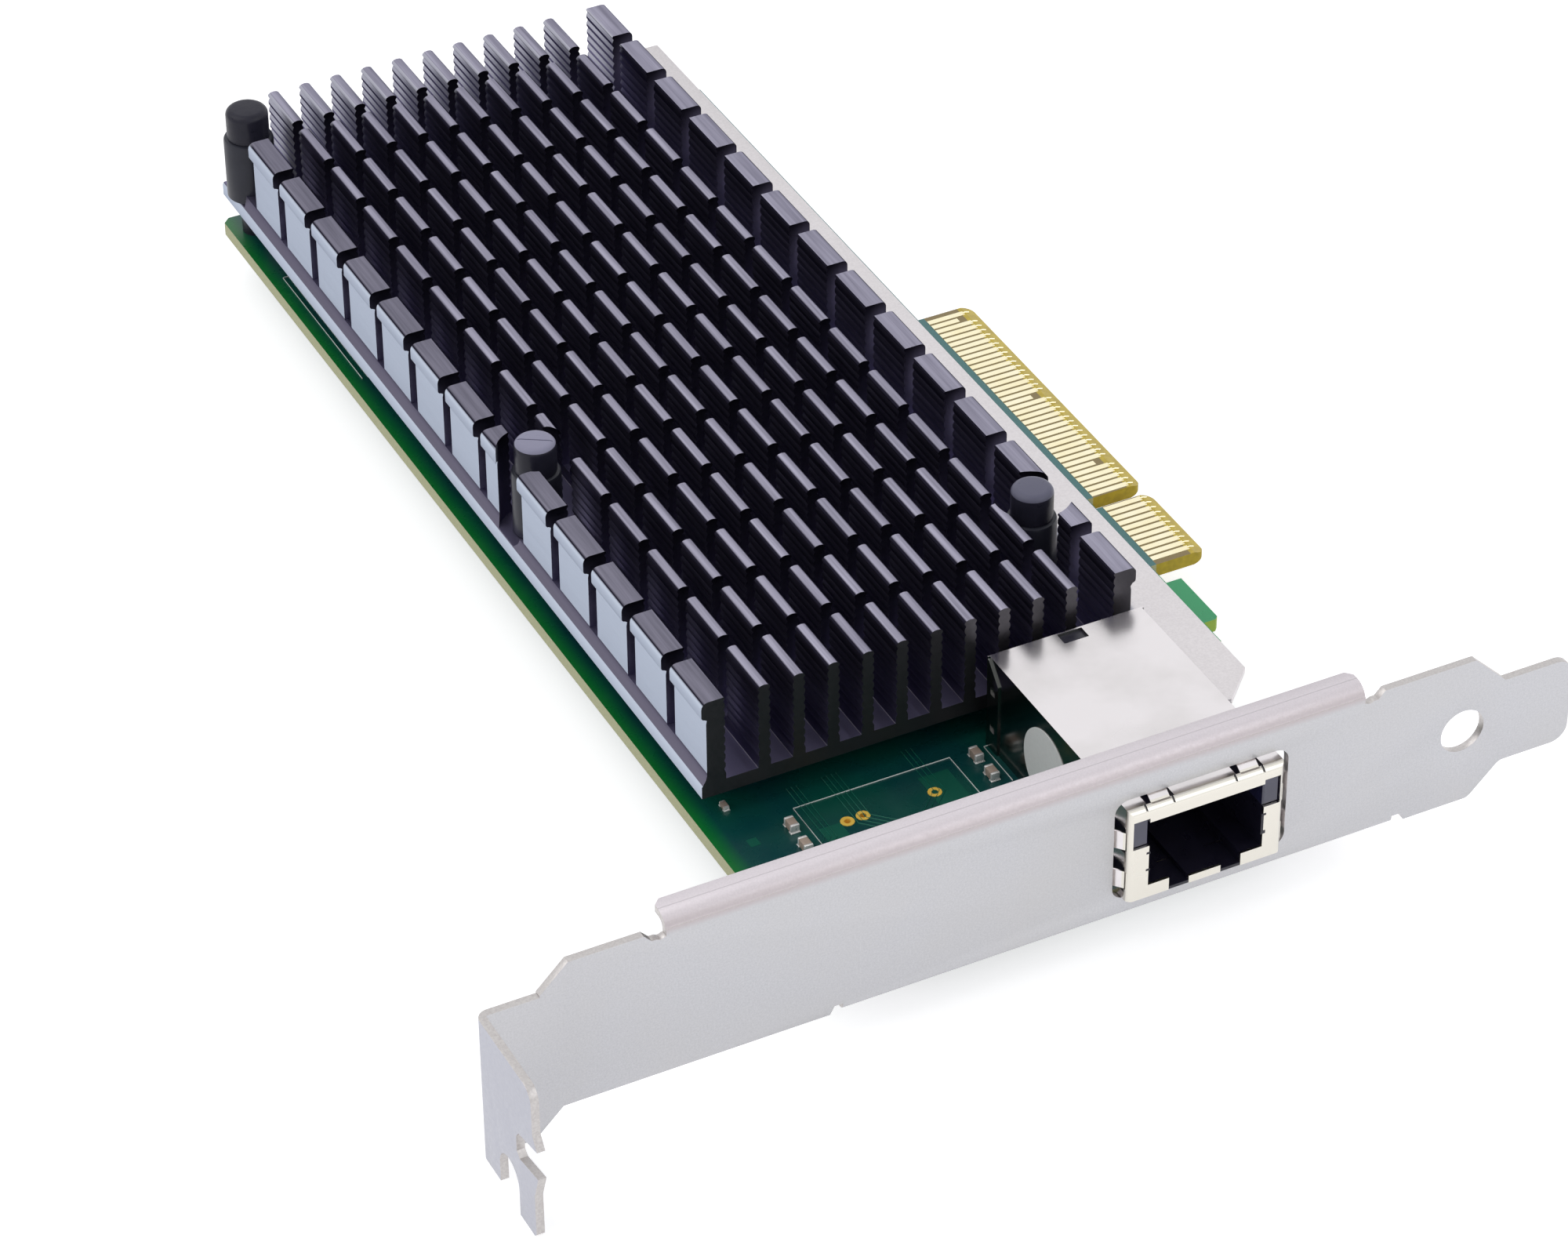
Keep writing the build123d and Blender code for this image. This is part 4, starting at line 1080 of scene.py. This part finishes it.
rail_finish = f = Finish("brushed_rail", (0.74, 0.70, 0.705), metallic=0.85, roughness=0.38)
long_lines = f.grain(1800, 4, (1, 0.04, 1))
fine_grain = f.grain(3800, 3)
f.colour(f.blend(f.spread(fine_grain, 0.3, 0.7), (0.70, 0.665, 0.675), (0.775, 0.74, 0.75)))
f.uneven((300, 4), 0.32, 0.46)
f.bump(f.math("ADD", long_lines, fine_grain), 0.005, 0.6)
rail = bevelled(merged_copy("edge_rail", "rail"), 0.12)
rail.data.materials.append(rail_finish.material)
smooth(rail, 30)
finished(rail, "rail_metal", "edge_rail")


# ---- Network jack ----
# A bright tin-plated shield, folded from thin sheet, round a black moulded housing, with
# eight gold wires, two smoked light pipes and a plain round paper dot on its side. Its
# leads and tabs are soldered through the board.
shield_finish = f = Finish("bright_tin_shield", (0.80, 0.785, 0.745), metallic=1.0, roughness=0.2)
plate_tone = f.blend(f.spread(f.grain(120, 4), 0.4, 0.7), (0.82, 0.785, 0.795), (0.72, 0.69, 0.69))
plate_tone = f.blend(f.before("Y", -0.3), plate_tone, (0.76, 0.73, 0.66))
# Painted reflection: from 3 mm back, faces turned sideways or forward are painted dark green-grey,
# for the dark board and parts that the bright tin mirrors.
walls = f.math("MAXIMUM", f.above(f.size_of(f.facing("X")), 0.6), f.below(f.facing("Y"), -0.3))
wall_reflection_share = f.times(f.times(walls, f.past("Y", 3.0)), 0.85)
f.colour(f.blend(wall_reflection_share, plate_tone, (0.14, 0.15, 0.14)))
f.rough(f.spread(f.grain(90, 4), 0.35, 0.7, 0.17, 0.3))
f.relief((260, 3), 0.02, 0.4)
dress(shield_finish, "jack_shell", "jack_back_cover")

housing_finish = Finish("moulded_housing", (0.010, 0.009, 0.020), roughness=0.32)
housing_finish.two_tone((600, 3), (0.007, 0.006, 0.014), (0.014, 0.013, 0.028))
housing_finish.uneven((900, 3), 0.26, 0.42)
housing_finish.relief()
dress(housing_finish, "jack_housing")
dress(gold_finish, "jack_contacts")
dress(tin_finish, "jack_pins")

pipe_finish = Finish("smoked_light_pipe", (0.022, 0.022, 0.07), roughness=0.16, specular=0.7,
                     coat=0.4)
pipe_finish.two_tone((500, 3), (0.016, 0.016, 0.05), (0.035, 0.035, 0.095))
pipe_finish.relief((1500, 2), 0.01, 0.4)
dress(pipe_finish, "light_pipe_left", "light_pipe_right")

paper_finish = Finish("plain_paper", (0.80, 0.81, 0.80), roughness=0.6)
paper_finish.two_tone((2200, 5), (0.76, 0.77, 0.76), (0.86, 0.87, 0.86))
paper_finish.relief((5000, 4), 0.01)
dress(paper_finish, "jack_sticker")

# Dark liners of the housing fill the latch notches, and its edges show at the mouth's sides.
mouth_edges = bevelled(box_form("mouth_edges", [
    ((36.56, -1.16, 0.0), (38.8, 2.6, 0.36)), ((42.4, -1.16, 0.0), (44.64, 2.6, 0.36)),
    ((33.85, -1.23, 3.35), (34.3, -0.9, 3.6)), ((33.85, -1.23, 5.45), (34.3, -0.9, 5.7)),
    ((46.8, -1.23, 3.1), (47.35, -0.9, 3.5)), ((46.8, -1.23, 5.4), (47.35, -0.9, 5.65)),
    ((46.8, -1.23, 3.5), (47.1, -0.9, 5.4))]), 0.03)
mouth_edges.data.materials.append(housing_finish.material)
finished(mouth_edges, "housing_plastic")

# Slots beside the spring fingers run forward over the rounded rim of the shield.
rim_centre_y = -0.5
rim_centre_z = 10.5
rim_r = 0.71
rim_slot = (0.42, 0.03)
rim_turns = [math.radians(a) for a in (28, 45, 60, 75, 88)]
rim_paths = [[(x, rim_centre_y - rim_r * math.cos(a), rim_centre_z + rim_r * math.sin(a))
              for a in rim_turns] for x in (33.8, 36.85, 43.85, 46.95)]
rim_slots = flat_lines("rim_slots", rim_paths, housing_finish, *rim_slot)
finished(rim_slots, "housing_plastic")


# ---- Slot bracket ----
# Bent from one 0.86 mm steel sheet and plated in satin zinc. The blanked edges are very
# slightly rounded and show the brighter cut metal.
zinc = f = Finish("satin_zinc", (0.575, 0.575, 0.585), metallic=0.75, roughness=0.42)
speckle = f.grain(5200, 2)
soft_cloud = f.grain(70, 4)
plate_tone = f.blend(f.spread(speckle, 0.3, 0.7), (0.55, 0.55, 0.575), (0.63, 0.628, 0.655))
plate_tone = f.blend(f.spread(soft_cloud, 0.35, 0.7, 0.0, 0.35), plate_tone, (0.60, 0.585, 0.575))
flange_left_x = -17.2
flange_right_x = 58.9
crease_y = 1.75
beside_flange = f.times(f.past("X", flange_left_x), f.before("X", flange_right_x))
on_flange = f.times(f.spread(f.axis("Z"), 14.2 * MM, 14.9 * MM), beside_flange)
on_roof = f.spread(f.axis("Z"), 15.5 * MM, 16.15 * MM)
crease = f.below(f.size_of(f.math("SUBTRACT", f.axis("Y"), crease_y * MM)), 0.06 * MM)
# Painted shade: faces turned along X are painted darker and bluer than the rest of the plating.
shaded_side_share = f.above(f.size_of(f.facing("X")), 0.9)
plate_tone = f.blend(shaded_side_share, plate_tone, (0.50, 0.505, 0.56))
# Painted light and shade: the top of the flange is painted lighter than its lower part, with a
# darker line along the crease of its bend.
lit_roof_tone = f.blend(f.times(crease, 0.45), (0.72, 0.67, 0.705), (0.40, 0.37, 0.39))
flange_tone = f.blend(on_roof, (0.56, 0.505, 0.52), lit_roof_tone)
flange_tone = f.blend(f.spread(speckle, 0.3, 0.7, 0.0, 0.12), flange_tone, (0.30, 0.27, 0.28))
f.colour(f.blend(on_flange, plate_tone, flange_tone))
f.uneven((2400, 3), 0.34, 0.5)
f.bump(f.math("ADD", speckle, f.grain(1500, 3, (0.03, 1, 1))), 0.008, 0.8)
sheared = f = Finish("sheared_edge", (0.47, 0.43, 0.425), metallic=0.8, roughness=0.36)
f.colour(f.blend(f.spread(f.grain(4200, 3), 0.3, 0.7), (0.51, 0.48, 0.475), (0.62, 0.595, 0.58)))
f.uneven((2600, 3), 0.28, 0.44)
f.relief()
bracket = merged_copy("bracket", "slot_bracket")
notch_r = 0.55
notch_z = 14.55
notch_places_x = (-17.78, 59.48)
for x in notch_places_x:
    notch = round_cutter(((x, -notch_z),), notch_r, -1.0, 2.0, 24)
    notch.data.transform(Matrix.Rotation(math.radians(-90), 4, "X"))
    bracket = carved(bracket, notch)
bracket.data.materials.append(zinc.material)
bracket.data.materials.append(sheared.material)
sheet_thick = 0.86
for face in bracket.data.polygons:
    middle, normal = face.center / MM, face.normal
    if middle.y < -0.05:
        cut = abs(normal.x) < 0.5
    elif middle.y < sheet_thick - 0.05:
        cut = abs(normal.y) < 0.5 and middle.z < 15.02
    else:
        cut = abs(normal.z) < 0.5 and abs(middle.y - sheet_thick) > 0.05
    face.material_index = 1 if cut else 0
bracket = bevelled(bracket, 0.1)
smooth(bracket, 30)
finished(bracket, "bracket_steel", "bracket")


# ---- Bracket screws ----
# Zinc-plated pan-head screws with a cross recess, turned down through the board into the
# two ears of the bracket. Their threads end below the ears.
screw_head_r = 2.7
screw_head_top = 1.5
thread_r = 1.45
thread_end = -4.0
thread_turns = 9
thread_step = 0.4
screw_outline = [(0, thread_end), (thread_r - 0.35, thread_end),
                 (thread_r - 0.2, thread_end + 0.2)]
for k in range(thread_turns):
    z = thread_end + 0.2 + k * thread_step
    screw_outline += [(thread_r - 0.2, z), (thread_r, z + 0.2)]
screw_outline += [(thread_r - 0.1, -0.02), (thread_r, 0.0), (screw_head_r - 0.12, 0.0),
                  (screw_head_r, 0.12), (screw_head_r, 0.75)]
screw_outline += arc_points(screw_head_r - 0.75, 0.75, 0.75, 12, 90, 5)
screw_outline += [(0, screw_head_top)]
screw_shape = turned("screw_shape", screw_outline, 40)
recess_bottom = 0.7
for reach_x, reach_y in ((1.15, 0.26), (0.26, 1.15)):
    recess = box_form("recess", [((-reach_x, -reach_y, recess_bottom), (reach_x, reach_y, 2.0))])
    screw_shape = carved(screw_shape, recess)
smooth(screw_shape)
screw_places = [(6.2, 6.6, 0.0), (53.55, 6.6, 0.0)]
screws = at_places("bracket_screws", screw_shape, screw_places, zinc)
finished(screws, "screw_steel", "bracket_screw_left", "bracket_screw_right")


# ---- Solder joints ----
# Shiny cones of solder under the board, one round each lead of the jack and each tab of
# its shield. They form as the board passes over molten tin.
joint_outline = [(0, board_bottom - 0.85), (0.28, board_bottom - 0.8), (0.45, board_bottom - 0.45),
                 (0.72, board_bottom - 0.15), (0.95, board_bottom), (0, board_bottom + 0.02)]
jack_middle_x = 40.6
lead_pitch = 2.54
lead_rows = (12.0, 19.0)
joint_places = [(jack_middle_x + (k - 2) * lead_pitch + (row - 0.5) * lead_pitch / 2, y, 0.0)
                for row, y in enumerate(lead_rows) for k in range(5)]
joint_places += [(x, y, 0.0) for y in (8.0, 20.0) for x in (32.0, 49.2)]
joints = at_places("solder_joints", smooth(turned("joint_shape", joint_outline, 20), 60),
                   joint_places, tin_finish)
finished(joints, "pin_tin")
